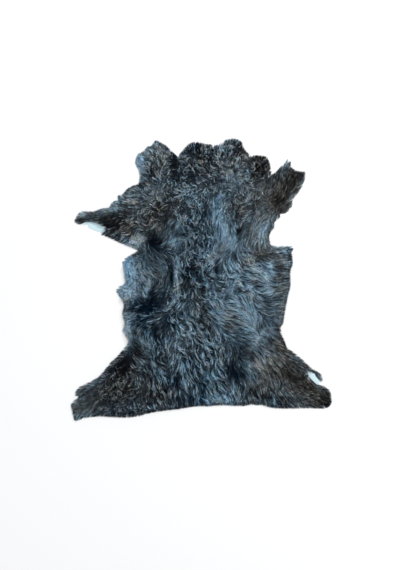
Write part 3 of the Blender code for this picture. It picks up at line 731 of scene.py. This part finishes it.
def makeHide(values):
    def edgeGap(points):
        bare = np.clip(values["bareReach"] - bareDistance(points), 0, 1)
        return values["edgeGap"] + (values["bareEdgeGap"] - values["edgeGap"]) * bare

    piece = cutGrid("hide", values["step"], edgeGap)
    drawUp(piece, 0.0, lambda points: np.full(len(points), values["thickness"]))
    bpy.ops.object.shade_smooth_by_angle(angle=math.radians(values["smoothAngle"]))
    return piece


underwoolValues = {
    "step": 0.0090,
    "bottom": 0.0021,
    "edgeGap": 0.0052,
    "fullness": 0.66,        # share of the wool's height that the dense underwool fills
    "rimHeight": 0.0040,
    "rimReach": 0.03,        # it rises from that height over this distance, in a curve
    "rimCurve": 0.6,
    "lump": 0.0022,          # height of its lumps, and how close they stand in X and Y
    "lumpWaves": (410, 370),
    "shade": 0.52,           # its tone beside that of the fleece above it: darker, as painted shade under the strands
    "along": 0.7,            # it is coloured as a strand is at this share of its length
    "chance": 0.5,
}


def makeUnderwool(values):
    def edgeGap(points):
        # the underwool ends where the skin is bare
        bare = bareDistance(points) < bareMargin
        return np.where(bare, farAway, values["edgeGap"])

    def topHeight(points):
        full = readMap("softHeight", points) * values["fullness"]
        waves = np.sin(points * values["lumpWaves"])
        lumps = values["lump"] * waves[:, 0] * waves[:, 1]
        rounded = np.clip(readMap("depth", points) / values["rimReach"], 0, 1) ** values["rimCurve"]
        return values["rimHeight"] + np.maximum(full - values["rimHeight"] + lumps, 0) * rounded

    piece = cutGrid("underwool", values["step"], edgeGap)
    drawUp(piece, values["bottom"], topHeight)
    bpy.ops.object.shade_smooth()
    mesh = piece.data
    flat = np.zeros(len(mesh.vertices) * 3)
    mesh.vertices.foreach_get("co", flat)
    tone, blue = readTone(flat.reshape(-1, 3)[:, :2])
    along = np.full(len(tone), values["along"])
    coat = np.column_stack([tone * values["shade"], blue, along, np.full(len(tone), values["chance"])])
    layer = mesh.color_attributes.new("coat", "FLOAT_COLOR", "POINT")
    layer.data.foreach_set("color", coat.astype(np.float32).ravel())
    return piece


hide = makeHide(hideValues)
underwool = makeUnderwool(underwoolValues)
print("4/8 skin and underwool cut:", len(hide.data.polygons), len(underwool.data.polygons), "faces")


# fleece: tufts of locks of strands, rooted all over the solid's lumpy top
fleeceValues = {
    "kinds": {               # up to which points of the styles, strands in a lock, points along a strand
        "straight": (3.6, 5, 3),
        "wool": (4.7, 3, 4),
        "waves": (7, 3, 5),
        "curls": (99, 3, 10),
        "rim": (0, 9, 3),
    },
    "mostFaces": 150000,     # a kind of wool with more is split into pieces from neck to rump
    # where locks stand
    "more": 4,               # locks beside the one at each place, how far they may stand from it,
    "strewn": 0.010,         # and how far in from the rim they are rooted at least
    "leastDepth": 0.004,
    "rimGap": 0.0037,        # spacing of the locks along the rim, and how far in they are rooted
    "rimInset": (0.003, 0.010),
    "rimLeastDepth": 0.002,
    # how locks lie
    "steps": 20,             # of a lock's middle line
    "lengths": (0.8, 1.15),  # of the locks, beside the length in the lay table
    "rimLong": 0.036,        # least length of the rim's locks
    "tuftTurn": 0.279,       # how far a tuft turns, beside the spread of its style
    "hooks": (0.65, 1.2),    # beside the hook of its style
    "hookCurve": 1.7,        # larger ones leave the bend to the tip
    "clumpCurve": 1.3,
    "partingSpread": 40,
    "edgeFall": 0.35,        # how far wool near the rim turns outward, and the rim's own locks
    "rimFall": 0.50,
    "fallReach": 0.028,      # how far from the rim that starts
    "turnBack": 1.5,         # how strongly wool that faces inward there is turned back
    "rimEase": 0.24,         # share of clump, point and turn that the rim's locks keep
    "rimVary": 0.5,          # and of their differences in tone
    # strands of a lock
    "width": 0.00115,
    "widths": (0.65, 1.3),   # beside that width
    "flatness": 0.6,
    "ridge": 1.6,            # height of a strand's upper side, beside its lower ones
    "taper": ((0, 0.3, 0.8, 1), (0.75, 1.0, 0.85, 0.0)),    # shares of its length and width
    "lockWidth": 0.0020,
    "strandEnds": (0.72, 1.0),    # strands of a lock end at different shares of its length
    "shortest": 0.005,
    "loose": 0.22,           # share of the strands that stray from their lock
    "looseGather": 0.30,     # how far these draw together, and how much more they are scattered
    "looseScatter": 3,
    "gatherCurve": 0.8,
    "tipSpread": 0.0010,
    "waveSpread": 0.5,       # how far the waves of a lock's strands are out of step, in radians
    "waveStart": 1.8,        # larger ones let the waves start nearer the root
    "overhang": (0.0078, 0.0094),    # how far strands reach beyond the rim
    "topShort": 0.0040,      # how much less the other locks hang over
    "further": {             # where it hangs over more: middle, half length, half width, how much more
        "neck": (0.060, 0.480, 0.180, 0.035, 0.0090),
        "neck dip": (0.022, 0.475, 0.026, 0.020, 0.0030),
        "left foreleg": (-0.392, 0.255, 0.030, 0.020, 0.0080),
        "right thigh": (0.425, -0.345, 0.040, 0.030, 0.0040),
        "rump": (0.140, -0.440, 0.070, 0.020, 0.0040),
    },
    # heights
    "crest": 0.6,            # share of the solid's lumps in the wool's height, beside its broad swell
    "leastSwell": 0.8,
    "rootDepth": 0.40,       # strands start at this share of the wool's height
    "rootRun": 0.4,          # and reach the surface at this share of their length, in a curve
    "rootCurve": 0.7,
    "tuftRise": 0.0048,
    "tuftCrown": 0.6,
    "lockRise": 0.0018,
    "strandRise": 0.0016,
    "hookRise": 1.3,
    "tipDrop": 0.0022,       # how far tips bend down, after this share of the length
    "tipStart": 0.8,
    "thinWool": 0.02,        # wool lower than this is less lumpy, down to a share of the lumps
    "thinLift": 0.2,
    "leastHeights": (0.0011, 0.0012),    # at the tip, and how much more at the root
    # tone and hue
    "glints": (0.10, 0.0016, 0.30),    # share of the locks that lie on top and shine, their rise and tone
    "glintLonger": 0.2,
    "streakTone": 0.25,
    "streakPeak": 0.30,      # how much the strongest streaks stand out, as painted glints
    "strandTone": 0.35,
    "lockTone": 0.255,
    "crimpTone": 0.20,       # painted highlight and shade along the waves, where their bends catch the light
    "tuftTone": 0.16,
    "crestTone": 0.38,
    "crestHeight": 0.004,    # a lump that stands this far above the swell has all of the painted light, a hollow as deep all of the painted shade
    "edgeTone": 0.34,        # how much darker a tuft is painted at its edge, as shade between tufts
    "edgeMiddle": 0.4,       # and where between its middle and edge it stays as it is
    "lockHue": 0.14,
    "strandHue": 0.12,
    "cloudHue": 0.15,
    "mostCoat": 1.8,
}


def rimPlaces(values):
    # places just inside the rim
    places = []
    for start, end in pelt["rim"]:
        count = max(1, round(np.linalg.norm(end - start) / values["rimGap"]))
        places += [start + (end - start) * (k + 0.5) / count for k in range(count)]
    places = np.array(places)
    places = places + inward(places) * chance.uniform(*values["rimInset"], (len(places), 1))
    return places[readMap("depth", places) > values["rimLeastDepth"]]


def groupTufts(place, apart):
    # some locks lead a tuft, and the others follow the nearest leader
    leaders = []
    for k in chance.permutation(len(place)):
        gaps = np.linalg.norm(place[leaders] - place[k], axis=1) if leaders else np.array([farAway])
        if gaps.min() > apart[k]:
            leaders.append(k)
    tree = KDTree(len(leaders))
    for k, (x, y) in enumerate(place[leaders]):
        tree.insert((x, y, 0), k)
    tree.balance()
    return np.array(leaders), np.array([tree.find((x, y, 0))[1] for x, y in place])


def plantLocks(values):
    top, rim = pelt["lockPlaces"][:, :2], rimPlaces(values)
    more = np.repeat(top, values["more"], axis=0)
    more = more + chance.uniform(-1, 1, more.shape) * values["strewn"]
    top = np.concatenate([top, more[readMap("depth", more) > values["leastDepth"]]])
    place = np.concatenate([top, rim])
    onRim = np.arange(len(place)) >= len(top)
    kept = bareDistance(place) > bareMargin
    place, onRim = place[kept], onRim[kept]
    given = readLay(place)[1]
    leaders, tuft = groupTufts(place, given["tuft"])
    offset = place - place[leaders[tuft]]
    outness = np.clip(np.linalg.norm(offset, axis=1) / given["tuft"], 0, 1)
    # wool that parts two ways stands every way
    spread = np.radians(given["spread"] + values["partingSpread"] * (1 - given["agreement"]))
    ease = np.where(onRim, values["rimEase"], 1)
    tuftTurn = chance.normal(0, values["tuftTurn"], len(leaders))[tuft]
    side = chance.choice((-1.0, 1.0), len(leaders))[tuft]
    shift = given["reliefShading"] * chance.normal(0, values["tuftTone"], len(leaders))[tuft]
    share, higher, lighter = values["glints"]
    glint = (chance.random(len(place)) < share) & ~onRim
    vary = given["vary"] * np.where(onRim, values["rimVary"], 1)
    long = np.where(onRim, np.maximum(given["length"], values["rimLong"]), given["length"])
    return {
        "place": place, "onRim": onRim, **given,
        "offset": offset * (given["clump"] * ease)[:, None],
        "point": given["point"] * ease,
        "turn": spread * ease * (tuftTurn + given["own"] * chance.normal(size=len(place))),
        "hook": np.radians(given["hook"]) * ease ** 2 * side * chance.uniform(*values["hooks"], len(place)),
        "long": long * chance.uniform(*values["lengths"], len(place)) * (1 + values["glintLonger"] * glint),
        "rise": values["tuftRise"] * (values["tuftCrown"] - outness ** 2) + higher * glint
        + chance.normal(0, values["lockRise"], len(place)),
        "hue": chance.normal(0, values["lockHue"], len(place)),
        # a lock's tone: chance for its tuft and itself, a painted glint on glint locks, painted shade
        # towards its tuft's edge
        "tone": shift + vary * (chance.normal(0, values["lockTone"], len(place)) + lighter * (glint - share))
        - values["edgeTone"] * given["reliefShading"] * (outness ** 2 - values["edgeMiddle"]),
    }


def lockPaths(locks, values):
    # each lock's middle line: it follows the lay, hooks, and falls outward near the rim
    here = locks["place"]
    fall = np.where(locks["onRim"], values["rimFall"], values["edgeFall"])[:, None]
    paths = [here]
    for k in range(values["steps"]):
        share = (k + 0.5) / values["steps"]
        course = turned(readHeading(here), locks["turn"] + locks["hook"] * share ** values["hookCurve"])
        near = np.clip(1 - readMap("depth", here) / values["fallReach"], 0, 1)[:, None]
        inner = inward(here)
        facing = np.maximum((course * inner).sum(axis=1, keepdims=True), 0)
        course = unit(course - inner * near * (fall + values["turnBack"] * facing))
        here = here + course * (locks["long"] / values["steps"])[:, None]
        paths.append(here)
    along = np.linspace(0, 1, values["steps"] + 1)
    drawn = (along ** values["clumpCurve"])[None, :, None]
    return np.stack(paths, axis=1) - locks["offset"][:, None] * drawn, along


def ringSpots(rings):
    # points of a strand stand closer towards its tip
    crowding = 0.65
    return np.linspace(0, 1, rings) ** crowding


def cutAtRim(flat, overhang, longest, rings):
    # a strand ends at its own length, or where it would pass too far beyond the rim
    depth = readMap("depth", flat) + overhang[:, None]
    bare = bareDistance(flat.reshape(-1, 2)).reshape(depth.shape)
    patchHalf = 0.01         # turns the distance from a patch into metres
    depth = np.minimum(depth, (bare - 1) * patchHalf)
    steps = flat.shape[1] - 1
    past = depth < 0
    first = np.where(past.any(axis=1), np.maximum(past.argmax(axis=1), 1), steps)
    rows = np.arange(len(flat))
    before, after = depth[rows, first - 1], depth[rows, first]
    share = np.where(after < 0, np.clip(before / np.maximum(before - after, 1e-9), 0, 1), 1)
    reach = np.where(past[:, 0], 0, np.minimum(first - 1 + share, longest * steps))
    places = reach[:, None] * ringSpots(rings)[None]
    low = np.minimum(places.astype(int), steps - 1)
    part = (places - low)[..., None]
    return flat[rows[:, None], low] * (1 - part) + flat[rows[:, None], low + 1] * part, reach / steps


def gatherStrands(middle, along, owner, locks, values):
    # strands stand round the lock's root and draw together towards its tip
    total = len(owner)
    angle = chance.uniform(0, 2 * math.pi, total)
    reach = values["lockWidth"] * np.sqrt(chance.uniform(0.02, 1, total))
    root = np.column_stack([np.cos(angle), np.sin(angle)]) * reach[:, None]
    strays = chance.random(total) < values["loose"]
    gather = np.where(strays, values["looseGather"], locks["point"][owner])[:, None]
    gather = gather * along[None] ** values["gatherCurve"]
    scatter = np.where(strays, values["looseScatter"], 1)[:, None]
    jitter = chance.normal(0, values["tipSpread"], (total, 2)) * scatter
    return middle[owner] + root[:, None] * (1 - gather)[..., None] + jitter[:, None] * along[:, None]


def waveStrands(flat, along, owner, locks, values):
    # waves run along the strand, nearly in step within a lock
    forward = unit(np.gradient(flat, axis=1))
    side = np.stack([-forward[..., 1], forward[..., 0]], axis=-1)
    travelled = along[None] * locks["long"][owner, None]
    phase = chance.uniform(0, 2 * math.pi, len(locks["long"]))[owner]
    phase = phase + chance.normal(0, values["waveSpread"], len(owner))
    swing = travelled / locks["wave"][owner, None] * 2 * math.pi + phase[:, None]
    grown = np.clip(along * values["waveStart"], 0, 1)[None] * locks["swing"][owner, None]
    return flat + side * (np.sin(swing) * grown)[..., None], phase


def strandOverhang(owner, locks, values):
    overhang = chance.uniform(*values["overhang"], len(owner)) - values["topShort"] * ~locks["onRim"][owner]
    for x, y, halfLong, halfWide, more in values["further"].values():
        away = (locks["place"][owner] - (x, y)) / (halfLong, halfWide)
        overhang += more * np.exp(-(away ** 2).sum(axis=1))
    return overhang


def strandHeights(crest, swell, along, owner, locks, values):
    # heights follow the solid's wool, from inside it at the root to its surface
    broad = np.maximum(swell, crest * values["leastSwell"])
    wool = values["crest"] * crest + (1 - values["crest"]) * broad
    risen = np.clip(along / values["rootRun"], 0, 1) ** values["rootCurve"]
    rise = values["rootDepth"] + (1 - values["rootDepth"]) * risen
    lift = locks["rise"][owner, None] * along
    lift += chance.normal(0, values["strandRise"], len(owner))[:, None] * along
    curled = np.cos(along * locks["hook"][owner, None] * values["hookRise"])
    lift += curled * locks["swing"][owner, None] * along
    lift -= values["tipDrop"] * np.clip(along - values["tipStart"], 0, 1) / (1 - values["tipStart"])
    height = wool * rise + lift * np.clip(wool / values["thinWool"], values["thinLift"], 1)
    least, moreAtRoot = values["leastHeights"]
    return np.maximum(height, least + moreAtRoot * (1 - along))


def strandTones(flat, above, along, phase, owner, locks, values):
    # tone and blue of each point, from the spots, the lock, the strand, the streaks and the waves, with
    # painted light on crests and painted shade in hollows
    tone, blue = readTone(flat.reshape(-1, 2))
    tone = tone.reshape(along.shape) + locks["tone"][owner, None]
    tone += values["strandTone"] * (locks["contrast"][owner] * chance.normal(size=len(owner)))[:, None]
    streak = readMap("streak", flat)
    # the brightest streaks are lifted further as painted glints
    streak = streak + values["streakPeak"] * (streak ** 2 - 1)
    tone += values["streakTone"] * locks["contrast"][owner, None] * streak
    # painted light on the wool's crests and painted shade in its hollows
    lump = np.clip(above / values["crestHeight"], -1, 1)
    tone += values["crestTone"] * locks["reliefShading"][owner, None] * lump
    # painted highlight and shade along the waves
    crimp = along * (locks["long"] / locks["wave"])[owner, None] * 2 * math.pi
    tone += values["crimpTone"] * locks["vary"][owner, None] * np.sin(crimp + phase[:, None])
    hue = locks["hue"][owner] + chance.normal(0, values["strandHue"], len(owner))
    blue = blue.reshape(along.shape) + hue[:, None]
    return tone, blue + values["cloudHue"] * readMap("cloud", flat)


def growStrands(locks, values, perLock, rings):
    middle, along = lockPaths(locks, values)
    owner = np.repeat(np.arange(len(middle)), perLock)
    flat = gatherStrands(middle, along, owner, locks, values)
    flat, phase = waveStrands(flat, along, owner, locks, values)
    overhang = strandOverhang(owner, locks, values)
    flat, share = cutAtRim(flat, overhang, chance.uniform(*values["strandEnds"], len(owner)), rings)
    long = share * locks["long"][owner] > values["shortest"]
    flat, owner, share, phase = flat[long], owner[long], share[long], phase[long]
    along = ringSpots(rings)[None] * share[:, None]
    crest, swell = readMap("softHeight", flat), readMap("swell", flat)
    height = strandHeights(crest, swell, along, owner, locks, values)
    tone, blue = strandTones(flat, crest - swell, along, phase, owner, locks, values)
    apart = 0.5 + chance.uniform(-0.5, 0.5, len(owner)) * np.minimum(locks["contrast"][owner], 1)
    coat = np.stack([tone, blue, along, np.repeat(apart[:, None], rings, axis=1)], axis=-1)
    widths = values["width"] * locks["width"][owner] * chance.uniform(*values["widths"], len(owner))
    return np.concatenate([flat, height[..., None]], axis=2), widths, np.clip(coat, 0, values["mostCoat"])


def strandMesh(name, paths, widths, coat, values):
    # three-sided strands, closed at the root and drawn to a point
    total, rings = paths.shape[:2]
    tangent = unit(np.gradient(paths, axis=1))
    level = unit(np.stack([-tangent[..., 1], tangent[..., 0], np.zeros((total, rings))], axis=-1))
    upward = np.cross(tangent, level)
    taper = np.interp(ringSpots(rings), *values["taper"])
    half = widths[:, None, None] * taper[None, :, None] / 2
    thick = half * values["flatness"]
    corners = np.stack([
        paths - level * half - upward * thick,
        paths + level * half - upward * thick,
        paths + upward * thick * values["ridge"],
    ], axis=2)[:, :-1]
    each = (rings - 1) * 3 + 1
    points = np.concatenate([corners.reshape(total, -1, 3), paths[:, -1:]], axis=1)
    pattern = [(0, 2, 1)]
    for first in range(0, (rings - 2) * 3, 3):
        for k in range(3):
            a, b = first + k, first + (k + 1) % 3
            pattern += [(a, b, b + 3), (a, b + 3, a + 3)]
    last = (rings - 2) * 3
    pattern += [(last + k, last + (k + 1) % 3, each - 1) for k in range(3)]
    faces = (np.array(pattern)[None] + np.arange(total)[:, None, None] * each).reshape(-1, 3)
    mesh = bpy.data.meshes.new(name)
    mesh.from_pydata(points.reshape(-1, 3), [], faces)
    mesh.shade_smooth()
    colours = np.concatenate([np.repeat(coat[:, :-1], 3, axis=1), coat[:, -1:]], axis=1)
    layer = mesh.color_attributes.new("coat", "FLOAT_COLOR", "POINT")
    layer.data.foreach_set("color", colours.astype(np.float32).ravel())
    piece = bpy.data.objects.new(name, mesh)
    bpy.context.scene.collection.objects.link(piece)
    return piece


def growFleece(values):
    locks = plantLocks(values)
    fromNeck = np.argsort(-locks["place"][:, 1])
    grown, least = [], 0
    for kind, (most, perLock, rings) in values["kinds"].items():
        within = (locks["points"] >= least) & (locks["points"] < most)
        wanted = locks["onRim"] if kind == "rim" else within & ~locks["onRim"]
        least = most
        chosen = fromNeck[wanted[fromNeck]]
        parts = max(1, math.ceil(len(chosen) * perLock * (rings * 6 - 8) / values["mostFaces"]))
        for k, part in enumerate(np.array_split(chosen, parts)):
            some = {key: column[part] for key, column in locks.items()}
            grownStrands = growStrands(some, values, perLock, rings)
            grown.append(strandMesh(f"{kind}{k + 1}", *grownStrands, values))
            print("    ", grown[-1].name, len(part), "locks,", len(grown[-1].data.polygons), "faces")
    return grown


mapLay(streakValues)
mapStreaks(streakValues)
fleece = growFleece(fleeceValues)
print("5/8 fleece grown")


# finishes
def groupSocket(group, name, kind, way, value=None):
    socket = group.interface.new_socket(name=name, in_out=way, socket_type=kind)
    if value is not None:
        socket.default_value = value


def node(tree, kind, x, y, **settings):
    made = tree.nodes.new(kind)
    made.location = (x, y)
    for name, value in settings.items():
        setattr(made, name, value)
    return made


def mapRange(tree, x, y, span):
    # span: what comes in from and to, then what goes out from and to
    made = node(tree, "ShaderNodeMapRange", x, y)
    for name, value in zip(("From Min", "From Max", "To Min", "To Max"), span):
        made.inputs[name].default_value = value
    return made


woolLook = {
    "brownDark": (0.0035, 0.0026, 0.0020, 1),
    "brownLight": (0.622, 0.612, 0.570, 1),
    # the blue ends are the bluish sheen of cool sky light painted into the wool, the brown ends its own
    # colour
    "skySheenDark": (0.0002, 0.0068, 0.0190, 1),
    "skySheenLight": (0.475, 0.740, 0.960, 1),
    "glintWhite": (0.860, 0.930, 0.980, 1),
    "greenCast": (0.930, 1.000, 0.930, 1),
    "violetCast": (1.000, 0.925, 1.020, 1),
    "alongShade": (0.10, 0.80, 0.48, 1.12),     # darker at the root, lightest towards the tip
    "chanceShade": (0, 1, 0.35, 1.00),          # from the darkest strand to the lightest
    "mottleShade": (0.3, 0.7, 0.42, 1.58),
    "glintAbove": (1.1, 3.2, 0, 1),              # the lightest strands are painted nearly white, as glints
    "contrast": 2.0,
    "castScale": 75.0,
    "castFrom": 0.42,
    "castTo": 0.68,
}


def makeWoolTone():
    # colour of wool from its tone, its blue, how far along the strand, and chance
    group = bpy.data.node_groups.new("woolTone", "ShaderNodeTree")
    groupSocket(group, "Tone", "NodeSocketFloat", "INPUT", 0.5)
    groupSocket(group, "Blue", "NodeSocketFloat", "INPUT", 0.5)
    groupSocket(group, "Along", "NodeSocketFloat", "INPUT", 0.5)
    groupSocket(group, "Chance", "NodeSocketFloat", "INPUT", 0.5)
    groupSocket(group, "Mottle Scale", "NodeSocketFloat", "INPUT", 160.0)
    groupSocket(group, "Color", "NodeSocketColor", "OUTPUT")
    groupSocket(group, "Fibre", "NodeSocketFloat", "OUTPUT")
    start = node(group, "NodeGroupInput", -900, 0)
    end = node(group, "NodeGroupOutput", 1080, 0)
    link = group.links.new
    place = node(group, "ShaderNodeTexCoord", -900, -300)
    mottle = node(group, "ShaderNodeTexNoise", -700, -300)
    mottle.inputs["Detail"].default_value = 3.0
    link(place.outputs["Object"], mottle.inputs["Vector"])
    link(start.outputs["Mottle Scale"], mottle.inputs["Scale"])
    rootward = mapRange(group, -700, 150, woolLook["alongShade"])
    link(start.outputs["Along"], rootward.inputs["Value"])
    uneven = mapRange(group, -480, -300, woolLook["mottleShade"])
    link(mottle.outputs["Fac"], uneven.inputs["Value"])
    strand = mapRange(group, -480, -60, woolLook["chanceShade"])
    link(start.outputs["Chance"], strand.inputs["Value"])
    first = node(group, "ShaderNodeMath", -260, 100, operation="MULTIPLY")
    link(start.outputs["Tone"], first.inputs[0])
    link(rootward.outputs["Result"], first.inputs[1])
    second = node(group, "ShaderNodeMath", -260, -80, operation="MULTIPLY")
    link(first.outputs["Value"], second.inputs[0])
    link(strand.outputs["Result"], second.inputs[1])
    third = node(group, "ShaderNodeMath", -80, -80, operation="MULTIPLY")
    link(second.outputs["Value"], third.inputs[0])
    link(uneven.outputs["Result"], third.inputs[1])
    fourth = node(group, "ShaderNodeMath", 20, -220, operation="POWER")
    fourth.inputs[1].default_value = woolLook["contrast"]
    link(third.outputs["Value"], fourth.inputs[0])
    brown = node(group, "ShaderNodeMix", 120, 120, data_type="RGBA", clamp_factor=True)
    brown.inputs["A"].default_value = woolLook["brownDark"]
    brown.inputs["B"].default_value = woolLook["brownLight"]
    # the painted bluish sheen of sky light
    blue = node(group, "ShaderNodeMix", 120, -120, data_type="RGBA", clamp_factor=True)
    blue.inputs["A"].default_value = woolLook["skySheenDark"]
    blue.inputs["B"].default_value = woolLook["skySheenLight"]
    both = node(group, "ShaderNodeMix", 360, 0, data_type="RGBA", clamp_factor=False)
    link(fourth.outputs["Value"], brown.inputs["Factor"])
    link(fourth.outputs["Value"], blue.inputs["Factor"])
    link(start.outputs["Blue"], both.inputs["Factor"])
    link(brown.outputs["Result"], both.inputs["A"])
    link(blue.outputs["Result"], both.inputs["B"])
    # the lightest strands turn towards a painted white glint
    glinting = mapRange(group, 360, -240, woolLook["glintAbove"])
    link(fourth.outputs["Value"], glinting.inputs["Value"])
    whole = node(group, "ShaderNodeMix", 560, 0, data_type="RGBA")
    whole.inputs["B"].default_value = woolLook["glintWhite"]
    link(glinting.outputs["Result"], whole.inputs["Factor"])
    link(both.outputs["Result"], whole.inputs["A"])
    # faint casts of green and violet drift over the wool
    drift = node(group, "ShaderNodeTexNoise", 360, -480)
    drift.inputs["Scale"].default_value = woolLook["castScale"]
    link(place.outputs["Object"], drift.inputs["Vector"])
    cast = node(group, "ShaderNodeValToRGB", 560, -300)
    cast.color_ramp.elements[0].position = woolLook["castFrom"]
    cast.color_ramp.elements[0].color = woolLook["greenCast"]
    cast.color_ramp.elements[1].position = woolLook["castTo"]
    cast.color_ramp.elements[1].color = woolLook["violetCast"]
    link(drift.outputs["Fac"], cast.inputs["Fac"])
    tinted = node(group, "ShaderNodeMix", 860, 0, data_type="RGBA", blend_type="MULTIPLY")
    tinted.inputs["Factor"].default_value = 1.0
    link(whole.outputs["Result"], tinted.inputs["A"])
    link(cast.outputs["Color"], tinted.inputs["B"])
    link(tinted.outputs["Result"], end.inputs["Color"])
    link(mottle.outputs["Fac"], end.inputs["Fibre"])
    return group


finishValues = {
    "fleece": {
        "roughness": 0.42, "specular": 0.08,
        "mottleScale": 330.0, "bump": 0.3, "bumpDepth": 0.0006,
    },
    "underwool": {
        "roughness": 0.8, "specular": 0.05,
        "mottleScale": 150.0, "bump": 0.8, "bumpDepth": 0.002,
    },
    "skin": {
        "roughness": 0.72, "specular": 0.3,
        "grainScale": 620.0, "bump": 0.35, "bumpDepth": 0.0004,
        "cloudScale": 14.0, "cloudDetail": 5.0, "cloudEnds": (0.32, 0.68),
        "darker": (0.58, 0.76, 0.82, 1),
        "lighter": (0.68, 0.86, 0.92, 1),
    },
}


def newMaterial(name, roughness, specular):
    material = bpy.data.materials.new(name)
    material.use_nodes = True
    shader = material.node_tree.nodes["Principled BSDF"]
    shader.inputs["Roughness"].default_value = roughness
    shader.inputs["Specular IOR Level"].default_value = specular
    return material, material.node_tree, shader


def addBump(tree, shader, height, x, values):
    bump = node(tree, "ShaderNodeBump", x, -200)
    bump.inputs["Strength"].default_value = values["bump"]
    bump.inputs["Distance"].default_value = values["bumpDepth"]
    tree.links.new(height, bump.inputs["Height"])
    tree.links.new(bump.outputs["Normal"], shader.inputs["Normal"])


def makeWoolMaterial(name, woolTone, values):
    # the wool's points hold its tone, blue, share along the strand and chance
    material, tree, shader = newMaterial(name, values["roughness"], values["specular"])
    coat = node(tree, "ShaderNodeAttribute", -900, 100, attribute_name="coat")
    parts = node(tree, "ShaderNodeSeparateColor", -700, 100)
    tree.links.new(coat.outputs["Color"], parts.inputs["Color"])
    group = node(tree, "ShaderNodeGroup", -450, 100, node_tree=woolTone)
    group.inputs["Mottle Scale"].default_value = values["mottleScale"]
    tree.links.new(parts.outputs["Red"], group.inputs["Tone"])
    tree.links.new(parts.outputs["Green"], group.inputs["Blue"])
    tree.links.new(parts.outputs["Blue"], group.inputs["Along"])
    tree.links.new(coat.outputs["Alpha"], group.inputs["Chance"])
    tree.links.new(group.outputs["Color"], shader.inputs["Base Color"])
    addBump(tree, shader, group.outputs["Fibre"], -200, values)
    return material


def makeSkinMaterial(values):
    material, tree, shader = newMaterial("paleTannedSkin", values["roughness"], values["specular"])
    place = node(tree, "ShaderNodeTexCoord", -1100, 0)
    clouds = node(tree, "ShaderNodeTexNoise", -880, 200)
    clouds.inputs["Scale"].default_value = values["cloudScale"]
    clouds.inputs["Detail"].default_value = values["cloudDetail"]
    grain = node(tree, "ShaderNodeTexVoronoi", -880, -200, feature="DISTANCE_TO_EDGE")
    grain.inputs["Scale"].default_value = values["grainScale"]
    ramp = node(tree, "ShaderNodeValToRGB", -640, 200)
    for end, colour, position in zip(ramp.color_ramp.elements, ("darker", "lighter"), values["cloudEnds"]):
        end.position = position
        end.color = values[colour]
    tree.links.new(place.outputs["Object"], clouds.inputs["Vector"])
    tree.links.new(place.outputs["Object"], grain.inputs["Vector"])
    tree.links.new(clouds.outputs["Fac"], ramp.inputs["Fac"])
    tree.links.new(ramp.outputs["Color"], shader.inputs["Base Color"])
    addBump(tree, shader, grain.outputs["Distance"], -300, values)
    return material


woolTone = makeWoolTone()
fleeceMaterial = makeWoolMaterial("darkFleece", woolTone, finishValues["fleece"])
for piece in fleece:
    piece.data.materials.append(fleeceMaterial)
underwool.data.materials.append(makeWoolMaterial("denseUnderwool", woolTone, finishValues["underwool"]))
hide.data.materials.append(makeSkinMaterial(finishValues["skin"]))
print("6/8 finishes made")


# what rides and what is replaced
for piece in [hide, underwool, *fleece]:
    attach(piece, "root")
    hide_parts("pelt")
print("7/8 pieces placed")


# floor and light
studio = {
    "floorSize": 14.0,
    "floorDrop": 0.0006,
    "floorColour": (0.93, 0.93, 0.93, 1),
    "floorRoughness": 0.85,
    "floorSpecular": 0.2,
    "worldColour": (0.97, 0.985, 1.0, 1),
    "worldStrength": 0.60,
    "keyPower": 150.0,
    "keySize": 1.6,
    "keyPlace": (2.6, 1.8, 3.2),
    "fillPower": 24.0,
    "fillSize": 2.4,
    "fillPlace": (-2.6, -2.0, 3.0),
}


def makeStudio(values):
    deselectAll()
    bpy.ops.mesh.primitive_grid_add(
        x_subdivisions=8, y_subdivisions=8, size=values["floorSize"],
        location=(0, 0, -values["floorDrop"]),
    )
    floor = bpy.context.active_object
    floor.name = "paleFloor"
    bpy.ops.object.transform_apply(location=True, rotation=True, scale=True)
    material, tree, shader = newMaterial("paleFloor", values["floorRoughness"], values["floorSpecular"])
    shader.inputs["Base Color"].default_value = values["floorColour"]
    floor.data.materials.append(material)
    world = bpy.data.worlds.new("studio")
    world.use_nodes = True
    back = world.node_tree.nodes["Background"]
    back.inputs["Color"].default_value = values["worldColour"]
    back.inputs["Strength"].default_value = values["worldStrength"]
    bpy.context.scene.world = world
    for name in ("key", "fill"):
        data = bpy.data.lights.new(name + "Light", "AREA")
        data.energy = values[name + "Power"]
        data.size = values[name + "Size"]
        lamp = bpy.data.objects.new(name + "Light", data)
        bpy.context.scene.collection.objects.link(lamp)
        lamp.location = values[name + "Place"]
        lamp.rotation_mode = "QUATERNION"
        lamp.rotation_quaternion = (-lamp.location).to_track_quat("-Z", "Y")
    bpy.context.scene.view_settings.view_transform = "Standard"


makeStudio(studio)
print("8/8 studio lit")
